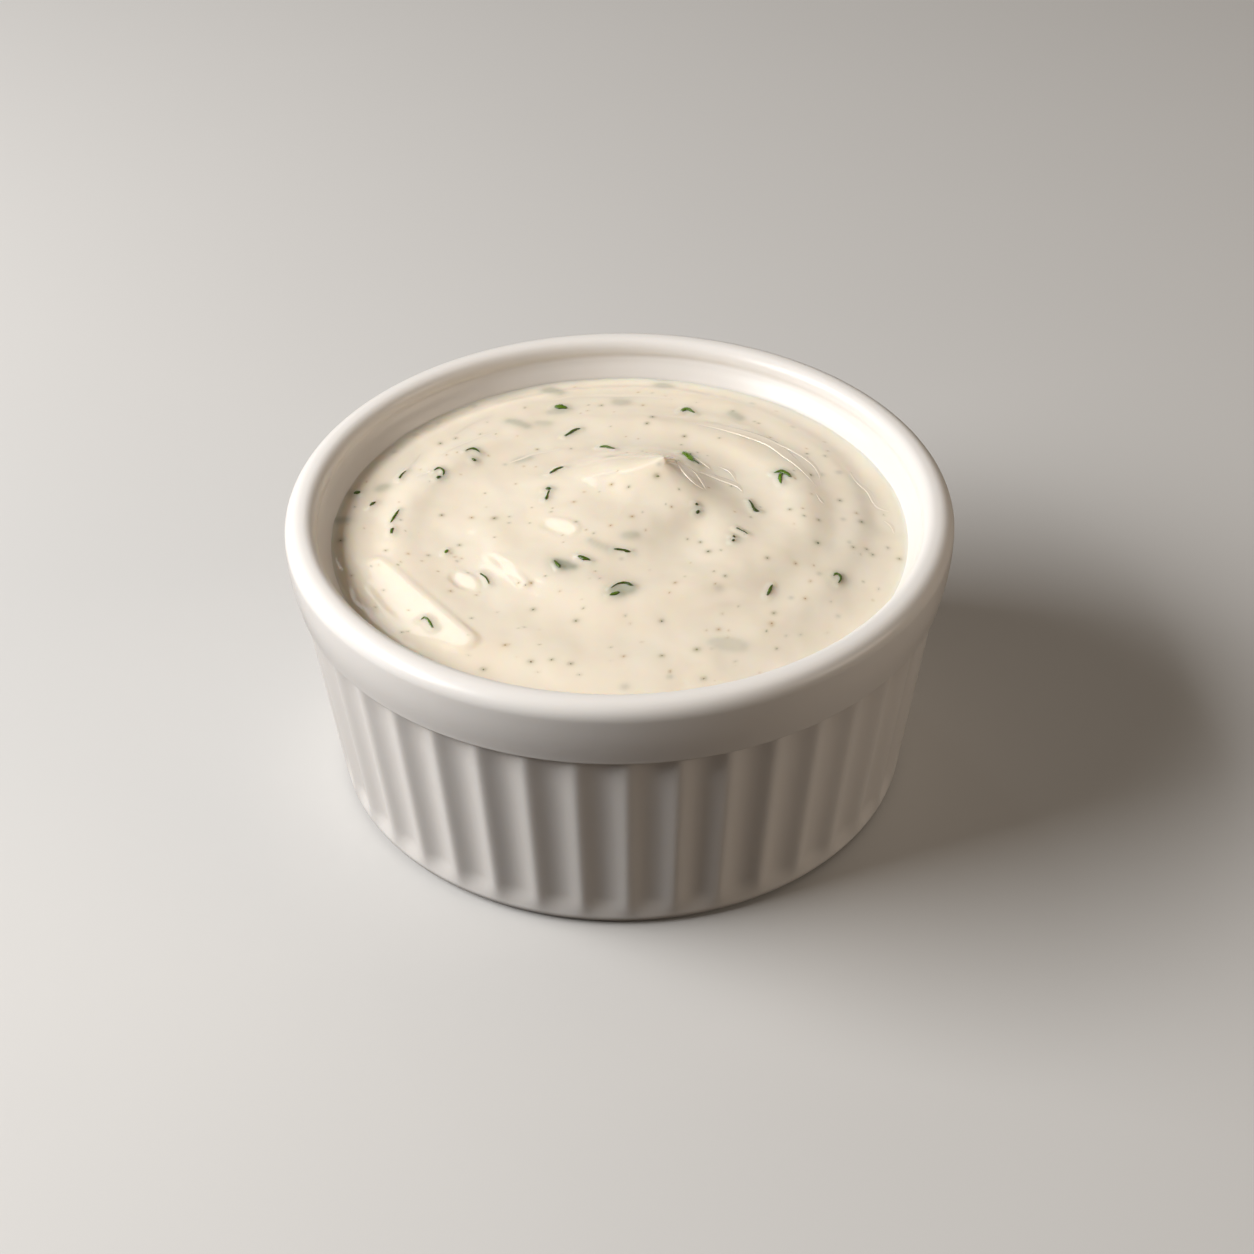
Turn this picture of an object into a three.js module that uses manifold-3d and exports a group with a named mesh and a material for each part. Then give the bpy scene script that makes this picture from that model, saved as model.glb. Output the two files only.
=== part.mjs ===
// A fluted porcelain ramekin filled with ranch dressing, stirred into a swirl with a small curled peak.
// Millimetres, +Z up, with the origin under the middle of the foot.
// Angles around the dish start at -Y and turn towards +X.

import * as THREE from 'three';
import { mergeVertices } from 'three/addons/utils/BufferGeometryUtils.js';
import Module from 'manifold-3d';

const wasm = await Module();
wasm.setup();

// Ramekin: driving dimensions.
const RIM_RADIUS = 44.5;
const HEIGHT = 40.6;
const COLLAR_BOTTOM = 31.2;
const COLLAR_BOTTOM_RADIUS = 43.7;
const COLLAR_EDGE_ROUND = 0.45;
const RIM_OUTER_ROUND = 2.1;
const RIM_INNER_ROUND = 1.8;
const LIP_RADIUS = 40.3;
const WALL_TOP_RADIUS = 43.1;
const BASE_RADIUS = 39.2;
const BASE_EDGE_ROUND = 1.9;
const FLUTE_COUNT = 42;
const FLUTE_DEPTH = 0.65;
const FLUTE_CREST_SHARE = 0.28;
const FLUTE_FADE = { from: 0.9, to: 5.2 };
const FLUTE_PHASE = THREE.MathUtils.degToRad(0.8);
const FLOOR_THICKNESS = 4.5;
const INNER_BOTTOM_RADIUS = 34.6;
const INNER_CORNER_ROUND = 3.2;
const FOOT_RECESS = 1.2;
const FOOT_INNER_RADIUS = 34.4;

// Dressing: driving dimensions.
const FILL_EDGE_RADIUS = 38.6;
const FILL_EDGE_HEIGHT = 35.6;
const WALL_GAP = 0.3;
const SURFACE_HEIGHT = 35.4;
const DOME_HEIGHT = 0.85;
const CALM_RADIUS = 37;
const CALM_POWER = 24;
const MOUND = {
  x: 0.2, y: 4.9, radius: 11.6, height: 1.65, power: 5.7, oval: 0.16, ovalAt: 56, steep: 0.37, steepAt: 11,
};
const CREST = { x: 1, y: 3.6, radius: 9.6, height: 0.35, width: 1.6, start: 50, sweep: 110 };
const RINGS = [
  {
    radius: 14.0, reach: 3.4, reachAt: -117, oval: 1.9, ovalAt: 168,
    height: 0.48, inner: 4.2, outer: 5.0, swing: 0.8, swingAt: 30,
  },
  {
    radius: 20.6, reach: 6.0, reachAt: 45, oval: 0.9, ovalAt: 57,
    height: 0.52, inner: 4.4, outer: 4.2, swing: 1, swingAt: -35,
  },
  {
    radius: 29.0, reach: 4.5, reachAt: -119, oval: 1.4, ovalAt: -96,
    height: 0.18, inner: 2.2, outer: 3.2, swing: 1, swingAt: 98,
  },
  {
    radius: 33.1, reach: 3.25, reachAt: 130, oval: 1.4, ovalAt: 23,
    height: 0.42, inner: 2.7, outer: 2.1, swing: 1, swingAt: 95,
  },
  {
    radius: 29.5, reach: 0, reachAt: 0, oval: 0, ovalAt: 0,
    height: 0.24, inner: 4.0, outer: 4.4, swing: 1, swingAt: 213,
  },
];
const PEAK = { x: 6.2, y: 10.05, height: 40.5, foot: 8.5, lean: 1.1, sunk: 1.2 };

// Herb flakes large enough to see from a step away: [x, y, length, direction in degrees].
const FLAKES = [
  [-8.6, 29.8, 2.2, -40],
  [9.8, 28.7, 2.5, -50],
  [-6.7, 23.4, 2.6, 35],
  [-20.4, 17.9, 3, 95],
  [-24.9, 13.1, 2.5, 75],
  [-2, 19.2, 2.2, -38],
  [9.6, 16.1, 2.8, -45],
  [-8.7, 12.7, 2.5, 43],
  [-9.8, 6.7, 2.5, 80],
  [10.4, 1.7, 2.9, -87],
  [22.6, 10.6, 2.8, -60],
  [18, 4, 2.9, -68],
  [-30.5, 1.5, 5.6, 83],
  [-8.4, -9.2, 2.2, -72],
  [-4.9, -8.2, 1.9, -40],
  [-17.8, -11.3, 2.6, -65],
  [0, -15, 3.6, 40],
  [-24.9, -20.7, 2.7, -60],
  [19.4, -15.1, 2.4, 68],
  [28.4, -12.2, 2.3, 80],
  [16.2, -2.4, 2.1, -48],
  [-0.4, -6.6, 3.7, -15],
  [15, -4.2, 1.8, 90],
  [-14.2, 25.6, 3.2, -48],
  [16.9, 27.3, 2, -50],
];
const FLAKE_WIDTH = 0.9;
const FLAKE_PROUD = 0.2;
const FLAKE_SUNK = 0.5;

// Facet counts.
const ROUND_SEGMENTS = 84;
const FLUTE_SAMPLES = 6;
const SURFACE_CELLS = 42;

const degrees = THREE.MathUtils.degToRad;

/** Points of an arc in the (radius, height) plane. */
function arc(centreR, centreZ, radius, from, to, steps) {
  const points = [];
  for (let i = 0; i <= steps; i += 1) {
    const angle = degrees(from + ((to - from) * i) / steps);
    points.push(new THREE.Vector2(centreR + radius * Math.cos(angle), centreZ + radius * Math.sin(angle)));
  }
  return points;
}

/** A closed solid from a three.js geometry: only positions are kept, and shared corners are merged. */
function solidFrom(geometry) {
  geometry.deleteAttribute('normal');
  geometry.deleteAttribute('uv');
  const merged = mergeVertices(geometry, 1e-4);
  const corners = merged.index.array;
  const kept = [];
  for (let i = 0; i < corners.length; i += 3) {
    const [a, b, c] = [corners[i], corners[i + 1], corners[i + 2]];
    if (a !== b && b !== c && c !== a) {
      kept.push(a, b, c);
    }
  }
  const vertProperties = new Float32Array(merged.attributes.position.array);
  return new wasm.Manifold(new wasm.Mesh({ numProp: 3, vertProperties, triVerts: new Uint32Array(kept) }));
}

/** A three.js geometry from a solid. */
function geometryFrom(solid) {
  const mesh = solid.getMesh();
  const geometry = new THREE.BufferGeometry();
  geometry.setAttribute('position', new THREE.BufferAttribute(mesh.vertProperties, 3));
  geometry.setIndex(new THREE.BufferAttribute(mesh.triVerts, 1));
  geometry.computeVertexNormals();
  return geometry;
}

/** A turned geometry about +Z, from a profile of (radius, height) points. */
function turned(profile, segments) {
  const geometry = new THREE.LatheGeometry(profile, segments);
  geometry.rotateX(Math.PI / 2);
  return geometry;
}

// ---------------------------------------------------------------- ramekin

/** Radius over the flute crests at a height of the outer wall. */
function crestRadius(z) {
  return BASE_RADIUS + ((WALL_TOP_RADIUS - BASE_RADIUS) * z) / COLLAR_BOTTOM;
}

/** Radius of the inner wall at a height, up to the edge of the filling. */
function innerRadius(z) {
  const bottom = FLOOR_THICKNESS + INNER_CORNER_ROUND;
  const slope = (FILL_EDGE_RADIUS - INNER_BOTTOM_RADIUS) / (FILL_EDGE_HEIGHT - bottom);
  return INNER_BOTTOM_RADIUS + slope * (z - bottom);
}

/** How far a point of the wall is cut in: 0 on a narrow crest, 1 in the middle of a wide hollow. */
function hollow(angle) {
  const turn = ((angle - FLUTE_PHASE) * FLUTE_COUNT) / (2 * Math.PI);
  const fromCrest = 2 * Math.abs(turn - Math.round(turn));
  const soft = FLUTE_CREST_SHARE;
  const rise = (Math.hypot(fromCrest, soft) - soft) / (Math.hypot(1, soft) - soft);
  return 1 - (1 - rise) ** 2;
}

/** Inside of the bowl, from the middle of the floor to the edge of the filling. */
function bowlProfile(clearance, top) {
  const corner = INNER_BOTTOM_RADIUS - INNER_CORNER_ROUND;
  const round = INNER_CORNER_ROUND - clearance;
  const points = [new THREE.Vector2(0, FLOOR_THICKNESS + clearance)];
  points.push(...arc(corner, FLOOR_THICKNESS + INNER_CORNER_ROUND, round, -90, 0, 4));
  points.push(new THREE.Vector2(innerRadius(top) - clearance, top));
  return points;
}

/** Rolled rim, from the inner lip over the top to the outside of the collar. */
function rimProfile() {
  const innerCentre = LIP_RADIUS + RIM_INNER_ROUND;
  const outerCentre = RIM_RADIUS - RIM_OUTER_ROUND;
  const points = arc(innerCentre, HEIGHT - RIM_INNER_ROUND, RIM_INNER_ROUND, 195, 90, 4);
  points.push(...arc(outerCentre, HEIGHT - RIM_OUTER_ROUND, RIM_OUTER_ROUND, 75, 0, 4));
  return points;
}

/** Bowl, rim and collar as one turned wall, closed on the axis below the floor. */
function wallSolid() {
  const coreTop = crestRadius(COLLAR_BOTTOM) - 2 * FLUTE_DEPTH;
  const coreFoot = crestRadius(0) - 2 * FLUTE_DEPTH;
  const edge = COLLAR_BOTTOM_RADIUS - COLLAR_EDGE_ROUND;
  const profile = [
    new THREE.Vector2(0, FOOT_RECESS),
    new THREE.Vector2(coreFoot, FOOT_RECESS),
    new THREE.Vector2(coreTop, COLLAR_BOTTOM),
    ...arc(edge, COLLAR_BOTTOM + COLLAR_EDGE_ROUND, COLLAR_EDGE_ROUND, -90, 0, 2),
    ...rimProfile().reverse(),
    ...bowlProfile(0, FILL_EDGE_HEIGHT).reverse(),
  ];
  return solidFrom(turned(profile, ROUND_SEGMENTS));
}

/**
 * The fluted outer wall down to the foot ring, as a ring that sinks into the turned wall.
 * The flutes run out just above the round edge of the foot, so the dish stands on a plain ring.
 */
function flutedSolid() {
  const hidden = 0.8;
  const under = COLLAR_BOTTOM + hidden;
  const inwards = [
    new THREE.Vector2(crestRadius(under) - 4 * FLUTE_DEPTH, under),
    new THREE.Vector2(crestRadius(FLOOR_THICKNESS) - 4 * FLUTE_DEPTH, FLOOR_THICKNESS),
    new THREE.Vector2(FOOT_INNER_RADIUS - hidden / 2, FOOT_RECESS + hidden),
    new THREE.Vector2(FOOT_INNER_RADIUS, 0),
  ];
  const edgeCentre = crestRadius(BASE_EDGE_ROUND) - BASE_EDGE_ROUND;
  const fadeMiddle = (BASE_EDGE_ROUND + FLUTE_FADE.to) / 2;
  const outwards = [
    ...arc(edgeCentre, BASE_EDGE_ROUND, BASE_EDGE_ROUND, -90, 0, 3),
    new THREE.Vector2(crestRadius(fadeMiddle), fadeMiddle),
    new THREE.Vector2(crestRadius(FLUTE_FADE.to), FLUTE_FADE.to),
    new THREE.Vector2(crestRadius(under), under),
  ];
  const profile = [...inwards, ...outwards, inwards[0].clone()];
  const geometry = turned(profile, FLUTE_COUNT * FLUTE_SAMPLES);
  const position = geometry.attributes.position;
  for (let i = 0; i < position.count; i += 1) {
    const row = i % profile.length;
    if (row >= inwards.length && row < profile.length - 1) {
      const x = position.getX(i);
      const y = position.getY(i);
      const radius = Math.hypot(x, y);
      const share = THREE.MathUtils.smoothstep(position.getZ(i), FLUTE_FADE.from, FLUTE_FADE.to);
      const scale = 1 - (share * FLUTE_DEPTH * hollow(Math.atan2(x, -y))) / radius;
      position.setXY(i, x * scale, y * scale);
    }
  }
  return solidFrom(geometry);
}

// --------------------------------------------------------------- dressing

/** A crest line's section: 1 on the line, falling off at its own rate on each side. */
function crestSection(offset, inner, outer) {
  const width = offset < 0 ? inner : outer;
  return Math.exp(-((offset / width) ** 2));
}

/** The low mound in the middle of the swirl, a little oval and steepest on one side. */
function moundHeight(x, y) {
  const angle = Math.atan2(y - MOUND.y, x - MOUND.x);
  const reach = MOUND.radius * (1 + MOUND.oval * Math.cos(2 * (angle - degrees(MOUND.ovalAt))));
  const power = MOUND.power * (1 + MOUND.steep * Math.cos(angle - degrees(MOUND.steepAt)));
  return MOUND.height / (1 + (Math.hypot(x - MOUND.x, y - MOUND.y) / reach) ** power);
}

/** The curved crest that the spoon drew along the back of the mound, fading away from the peak. */
function crestHeight(x, y) {
  const offset = Math.hypot(x - CREST.x, y - CREST.y) - CREST.radius;
  const turn = THREE.MathUtils.radToDeg(Math.atan2(y - CREST.y, x - CREST.x)) - CREST.start;
  const along = THREE.MathUtils.euclideanModulo(turn, 360) / CREST.sweep;
  const fade = along < 1 ? (1 - along) ** 2 : 0;
  return CREST.height * fade * crestSection(offset, CREST.width, CREST.width);
}

/** One ring of the swirl: an uneven oval about the middle of the dish, higher on one side. */
function ringHeight(ring, x, y) {
  const angle = THREE.MathUtils.radToDeg(Math.atan2(y, x));
  const shift = ring.reach * Math.cos(degrees(angle - ring.reachAt));
  const oval = ring.oval * Math.cos(degrees(2 * (angle - ring.ovalAt)));
  const offset = Math.hypot(x, y) - ring.radius - shift - oval;
  const crest = ring.height * (1 + ring.swing * Math.cos(degrees(angle - ring.swingAt)));
  return crest * crestSection(offset, ring.inner, ring.outer);
}

/** Height of the dressing's top at a place in the dish. The relief fades out close to the wall. */
function surfaceHeight(x, y) {
  const out = Math.hypot(x, y) / CALM_RADIUS;
  const dome = DOME_HEIGHT * (1 - Math.min(1, out) ** 2);
  const rings = RINGS.reduce((sum, ring) => sum + ringHeight(ring, x, y), 0);
  const relief = dome + moundHeight(x, y) + crestHeight(x, y) + rings;
  return SURFACE_HEIGHT + relief / (1 + out ** CALM_POWER);
}

/** The filling up to its stirred top, clear of the bowl by the wall gap. */
function fillingSolid() {
  const side = 2 * RIM_RADIUS;
  const slab = new THREE.BoxGeometry(side, side, HEIGHT, SURFACE_CELLS, SURFACE_CELLS, 1);
  const position = slab.attributes.position;
  for (let i = 0; i < position.count; i += 1) {
    if (position.getZ(i) > 0) {
      position.setZ(i, surfaceHeight(position.getX(i), position.getY(i)));
    }
  }
  const bowl = bowlProfile(WALL_GAP, HEIGHT);
  bowl.push(new THREE.Vector2(0, HEIGHT));
  return solidFrom(turned(bowl, ROUND_SEGMENTS)).intersect(solidFrom(slab));
}

/** The curled peak: a flared cone that leans as it rises to its tip. */
function peakSolid() {
  const floor = surfaceHeight(PEAK.x, PEAK.y) - PEAK.sunk;
  const rise = PEAK.height - floor;
  const rows = 6;
  const profile = [new THREE.Vector2(0, 0)];
  for (let i = 0; i <= rows; i += 1) {
    const share = i / rows;
    profile.push(new THREE.Vector2(PEAK.foot * (1 - share) ** 2, rise * share));
  }
  const geometry = turned(profile, 16);
  const position = geometry.attributes.position;
  for (let i = 0; i < position.count; i += 1) {
    const share = position.getZ(i) / rise;
    position.setX(i, position.getX(i) + PEAK.lean * (share ** 2 - 1));
  }
  geometry.translate(PEAK.x, PEAK.y, floor);
  return solidFrom(geometry);
}

/** One herb flake: a thin curved blade lying half sunk in the surface. */
function flakeSolid([x, y, length, direction]) {
  const outline = new THREE.Shape();
  const corners = 8;
  for (let i = 0; i < corners; i += 1) {
    const turn = (2 * Math.PI * i) / corners;
    const along = (length / 2) * Math.cos(turn);
    const bend = (along * along) / (2 * length);
    const across = (FLAKE_WIDTH / 2) * Math.sin(turn) + bend;
    outline[i === 0 ? 'moveTo' : 'lineTo'](along, across);
  }
  outline.closePath();
  const depth = FLAKE_PROUD + FLAKE_SUNK;
  const blade = new THREE.ExtrudeGeometry(outline, { depth, bevelEnabled: false, steps: 1 });
  const step = 0.5;
  const slopeX = (surfaceHeight(x + step, y) - surfaceHeight(x - step, y)) / (2 * step);
  const slopeY = (surfaceHeight(x, y + step) - surfaceHeight(x, y - step)) / (2 * step);
  const tilt = new THREE.Quaternion().setFromUnitVectors(
    new THREE.Vector3(0, 0, 1),
    new THREE.Vector3(-slopeX, -slopeY, 1).normalize(),
  );
  blade.translate(0, 0, -FLAKE_SUNK);
  blade.rotateZ(degrees(direction));
  blade.applyQuaternion(tilt);
  blade.translate(x, y, surfaceHeight(x, y));
  return solidFrom(blade);
}

// ---------------------------------------------------------------- assembly

const porcelain = new THREE.MeshStandardMaterial({ color: 0xf1ece6, roughness: 0.18, metalness: 0 });
const cream = new THREE.MeshStandardMaterial({ color: 0xeee2cd, roughness: 0.32, metalness: 0 });

const ramekin = new THREE.Mesh(geometryFrom(wallSolid().add(flutedSolid())), porcelain);
ramekin.name = 'ramekin';

const toppings = [peakSolid(), ...FLAKES.map(flakeSolid)];
const filled = toppings.reduce((solid, topping) => solid.add(topping), fillingSolid());
const dressing = new THREE.Mesh(geometryFrom(filled), cream);
dressing.name = 'dressing';

const group = new THREE.Group();
group.add(ramekin, dressing);

export default group;
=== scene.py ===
"""Ranch dressing in a fluted porcelain ramekin.

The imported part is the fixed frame. Around it this script builds the fine surfaces: the glazed ramekin,
the stirred dressing with its curled peak, and the herbs and spices that lie in it. A plain studio and the
camera come last.
Lengths are in metres. Around the dish, angles start at -Y and turn towards +X, as in the part.
"""

import logging
import math
from collections.abc import Callable, Sequence
from dataclasses import dataclass, field
from enum import Enum

import bpy
import numpy as np
from mathutils import Matrix, Vector


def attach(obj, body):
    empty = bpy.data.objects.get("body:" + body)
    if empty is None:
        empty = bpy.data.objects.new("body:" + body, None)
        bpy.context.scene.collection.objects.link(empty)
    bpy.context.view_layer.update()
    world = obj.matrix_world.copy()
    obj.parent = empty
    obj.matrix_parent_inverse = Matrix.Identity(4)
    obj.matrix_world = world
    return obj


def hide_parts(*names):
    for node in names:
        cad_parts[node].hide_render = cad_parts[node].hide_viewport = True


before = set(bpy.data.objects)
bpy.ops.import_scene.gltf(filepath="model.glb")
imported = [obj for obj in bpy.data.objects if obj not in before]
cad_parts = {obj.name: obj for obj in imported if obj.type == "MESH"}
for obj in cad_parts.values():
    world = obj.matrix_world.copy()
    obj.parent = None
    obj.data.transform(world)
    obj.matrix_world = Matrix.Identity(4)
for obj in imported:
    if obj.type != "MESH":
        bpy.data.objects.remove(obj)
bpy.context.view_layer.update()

MM = 0.001
log = logging.getLogger("ranch_dressing")


# ------------------------------------------------------------------ geometry


def arc(
    centre: tuple[float, float], radius: float, start: float, end: float, steps: int
) -> list[tuple[float, float]]:
    """Points of an arc in the (radius, height) plane.

    Args:
        centre: Centre of the arc.
        radius: Radius of the arc.
        start: First angle in degrees.
        end: Last angle in degrees.
        steps: Number of chords.

    Returns:
        The points in order, both ends included.
    """
    turns = np.radians(np.linspace(start, end, steps + 1))
    return [(centre[0] + radius * math.cos(t), centre[1] + radius * math.sin(t)) for t in turns]


def smooth_route(points: np.ndarray, steps: int) -> np.ndarray:
    """A smooth curve through points, by Catmull-Rom.

    Args:
        points: The (x, y) points that the curve passes.
        steps: Number of points to make between each two.

    Returns:
        The (x, y) points of the curve.
    """
    padded = np.vstack([2 * points[0] - points[1], points, 2 * points[-1] - points[-2]])
    share = np.linspace(0, 1, steps, endpoint=False)[:, None]
    parts = []
    for a, b, c, d in zip(padded, padded[1:], padded[2:], padded[3:]):
        bend = (2 * a - 5 * b + 4 * c - d) * share**2
        twist = (3 * b - a - 3 * c + d) * share**3
        parts.append(0.5 * (2 * b + (c - a) * share + bend + twist))
    return np.vstack([*parts, points[-1:]])


@dataclass
class Lofts:
    """Closed bodies lofted through rings of points, gathered for one piece."""

    points: list[np.ndarray] = field(default_factory=list)
    faces: list[list[int]] = field(default_factory=list)
    count: int = 0

    def add(self, rings: np.ndarray, first_pole: np.ndarray, last_pole: np.ndarray) -> None:
        """Adds one body, closed at both ends by a fan to a pole.

        Args:
            rings: Points of shape (rings, points in a ring, 3).
            first_pole: Point that closes the first ring.
            last_pole: Point that closes the last ring.
        """
        rows, around, _ = rings.shape
        grid = self.count + np.arange(rows * around).reshape(rows, around)
        turned = np.roll(grid, -1, axis=1)
        quads = np.stack([grid[:-1], turned[:-1], turned[1:], grid[1:]], axis=-1).reshape(-1, 4)
        start = self.count + rows * around
        body = np.vstack([rings.reshape(-1, 3), first_pole, last_pole])
        fans = [[start, b, a] for a, b in zip(grid[0], turned[0])]
        fans += [[start + 1, a, b] for a, b in zip(grid[-1], turned[-1])]
        faces = quads.tolist() + fans
        if self._volume(body, faces, self.count) < 0:
            faces = [face[::-1] for face in faces]
        self.points.append(body)
        self.faces.extend(faces)
        self.count += len(body)

    @staticmethod
    def _volume(points: np.ndarray, faces: list[list[int]], offset: int) -> float:
        """Signed volume of a closed body, positive when its faces point out."""
        fans = [(f[0], f[i], f[i + 1]) for f in faces for i in range(1, len(f) - 1)]
        a, b, c = (points[np.array(column) - offset] for column in zip(*fans))
        return float(np.einsum("ij,ij->i", a, np.cross(b, c)).sum() / 6)

    def piece(self, name: str) -> bpy.types.Object:
        """Makes the smooth-shaded object.

        Args:
            name: Name of the piece.

        Returns:
            The new object, linked to the scene.
        """
        mesh = bpy.data.meshes.new(name)
        mesh.from_pydata(np.vstack(self.points).tolist(), [], self.faces)
        mesh.polygons.foreach_set("use_smooth", [True] * len(mesh.polygons))
        mesh.update()
        obj = bpy.data.objects.new(name, mesh)
        bpy.context.scene.collection.objects.link(obj)
        return obj


def mark(obj: bpy.types.Object, name: str, values: np.ndarray) -> None:
    """Stores one number a vertex under a name that a material can read.

    Args:
        obj: The piece.
        name: Name of the attribute.
        values: One value for each vertex.
    """
    layer = obj.data.attributes.new(name, "FLOAT", "POINT")
    layer.data.foreach_set("value", np.asarray(values, np.float32).ravel())


# ------------------------------------------------------------ shader helpers


class Nodes:
    """A short way to add and join shader nodes."""

    def __init__(self, tree: bpy.types.NodeTree) -> None:
        """Starts on a node tree."""
        self.tree = tree

    def add(self, kind: str, settings: dict | None = None, **inputs: object) -> bpy.types.Node:
        """Adds a node.

        Args:
            kind: Node type without the ShaderNode prefix.
            settings: Properties of the node itself.
            inputs: Input values or sockets by name, with _ for a space.

        Returns:
            The node.
        """
        node = self.tree.nodes.new("ShaderNode" + kind)
        for key, value in (settings or {}).items():
            setattr(node, key, value)
        for key, value in inputs.items():
            self.feed(node.inputs[key.replace("_", " ")], value)
        return node

    def feed(self, socket: bpy.types.NodeSocket, value: object) -> None:
        """Sets a socket to a value, or links another socket to it."""
        if isinstance(value, bpy.types.NodeSocket):
            self.tree.links.new(value, socket)
        else:
            socket.default_value = value

    def math(self, operation: str, *values: object) -> bpy.types.NodeSocket:
        """Joins values by a Math node and returns its output."""
        node = self.add("Math", {"operation": operation})
        for socket, value in zip(node.inputs, values):
            self.feed(socket, value)
        return node.outputs[0]

    def ramp(self, value: object, low: float, high: float) -> bpy.types.NodeSocket:
        """A smooth step from 0 at low to 1 at high."""
        node = self.add("MapRange", {"interpolation_type": "SMOOTHSTEP"}, Value=value)
        node.inputs["From Min"].default_value = low
        node.inputs["From Max"].default_value = high
        return node.outputs[0]

    def blend(self, share: object, first: object, second: object) -> bpy.types.NodeSocket:
        """Mixes two colours.

        Args:
            share: How much of the second colour, 0 to 1.
            first: Colour or socket at 0.
            second: Colour or socket at 1.

        Returns:
            The mixed colour.
        """
        node = self.add("Mix", {"data_type": "RGBA"})
        self.feed(node.inputs[0], share)
        self.feed(node.inputs[6], first)
        self.feed(node.inputs[7], second)
        return node.outputs[2]

    def attribute(self, name: str) -> bpy.types.NodeSocket:
        """The value of a mesh attribute."""
        return self.add("Attribute", {"attribute_name": name}).outputs["Fac"]

    def effect(self, group: bpy.types.NodeTree, **inputs: object) -> bpy.types.Node:
        """Places a node group with its own values."""
        node = self.tree.nodes.new("ShaderNodeGroup")
        node.node_tree = group
        for key, value in inputs.items():
            self.feed(node.inputs[key.replace("_", " ")], value)
        return node


def rgba(red: float, green: float, blue: float) -> tuple[float, float, float, float]:
    """An opaque linear colour."""
    return (red, green, blue, 1.0)


class Effects:
    """The node groups that several finishes share, each built once."""

    def __init__(self) -> None:
        """Builds the groups."""
        self.mottle = self._mottle()
        self.specks = self._specks()
        self.ripple = self._ripple()

    @staticmethod
    def _group(
        name: str, inputs: dict[str, float], outputs: list[str]
    ) -> tuple[bpy.types.NodeTree, Nodes, dict, dict]:
        """Starts a group.

        Args:
            name: Name of the group.
            inputs: Input names with their defaults.
            outputs: Output names.

        Returns:
            The group, its node helper, its input sockets and its output sockets.
        """
        tree = bpy.data.node_groups.new(name, "ShaderNodeTree")
        for key, value in inputs.items():
            socket = tree.interface.new_socket(key, in_out="INPUT", socket_type="NodeSocketFloat")
            socket.default_value = value
        for key in outputs:
            tree.interface.new_socket(key, in_out="OUTPUT", socket_type="NodeSocketFloat")
        entry = tree.nodes.new("NodeGroupInput")
        leave = tree.nodes.new("NodeGroupOutput")
        return tree, Nodes(tree), {s.name: s for s in entry.outputs}, {s.name: s for s in leave.inputs}

    def _mottle(self) -> bpy.types.NodeTree:
        """Soft uneven patches: a factor about 0.5 that drifts over the surface."""
        tree, nodes, given, out = self._group("soft_mottle", {"Scale": 100.0, "Contrast": 1.0}, ["Factor"])
        place = nodes.add("TexCoord").outputs["Object"]
        noise = nodes.add("TexNoise", Vector=place, Scale=given["Scale"], Detail=3.0, Roughness=0.55)
        centred = nodes.math("SUBTRACT", noise.outputs[0], 0.5)
        scaled = nodes.math("MULTIPLY_ADD", centred, given["Contrast"], 0.5)
        nodes.feed(out["Factor"], nodes.math("MINIMUM", nodes.math("MAXIMUM", scaled, 0.0), 1.0))
        return tree

    def _specks(self) -> bpy.types.NodeTree:
        """Scattered fine specks: a mask of small round dots and a random tone for each."""
        inputs = {"Scale": 1000.0, "Size": 0.2, "Share": 0.3, "Softness": 0.1}
        tree, nodes, given, out = self._group("fine_specks", inputs, ["Mask", "Tone"])
        place = nodes.add("TexCoord").outputs["Object"]
        cells = nodes.add("TexVoronoi", Vector=place, Scale=given["Scale"])
        parts = nodes.add("SeparateColor", Color=cells.outputs["Color"])
        reach = nodes.math("MULTIPLY", given["Size"], nodes.math("MULTIPLY_ADD", parts.outputs[1], 0.8, 0.4))
        edge = nodes.math("DIVIDE", nodes.math("SUBTRACT", reach, cells.outputs["Distance"]), given["Softness"])
        dot = nodes.math("MINIMUM", nodes.math("MAXIMUM", edge, 0.0), 1.0)
        kept = nodes.math("LESS_THAN", parts.outputs[0], given["Share"])
        nodes.feed(out["Mask"], nodes.math("MULTIPLY", dot, kept))
        nodes.feed(out["Tone"], parts.outputs[2])
        return tree

    def _ripple(self) -> bpy.types.NodeTree:
        """Fine relief of a wet or glazed surface, as a height from two scales of noise."""
        inputs = {"Scale": 200.0, "Fine Share": 0.3}
        tree, nodes, given, out = self._group("surface_ripple", inputs, ["Height"])
        place = nodes.add("TexCoord").outputs["Object"]
        broad = nodes.add("TexNoise", Vector=place, Scale=given["Scale"], Detail=1.0)
        fine_scale = nodes.math("MULTIPLY", given["Scale"], 5.0)
        fine = nodes.add("TexNoise", Vector=place, Scale=fine_scale, Detail=2.0)
        height = nodes.math("MULTIPLY_ADD", fine.outputs[0], given["Fine Share"], broad.outputs[0])
        nodes.feed(out["Height"], height)
        return tree


def new_material(name: str) -> tuple[bpy.types.Material, Nodes, bpy.types.Node]:
    """Starts a material with one Principled shader.

    Args:
        name: Name of the material.

    Returns:
        The material, its node helper and the shader.
    """
    material = bpy.data.materials.new(name)
    material.use_nodes = True
    tree = material.node_tree
    return material, Nodes(tree), tree.nodes["Principled BSDF"]


def set_sockets(shader: bpy.types.Node, **values: object) -> None:
    """Sets plain values on a shader's own sockets, with _ for a space."""
    for key, value in values.items():
        shader.inputs[key.replace("_", " ")].default_value = value


# ------------------------------------------------------------------- finishes


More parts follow.
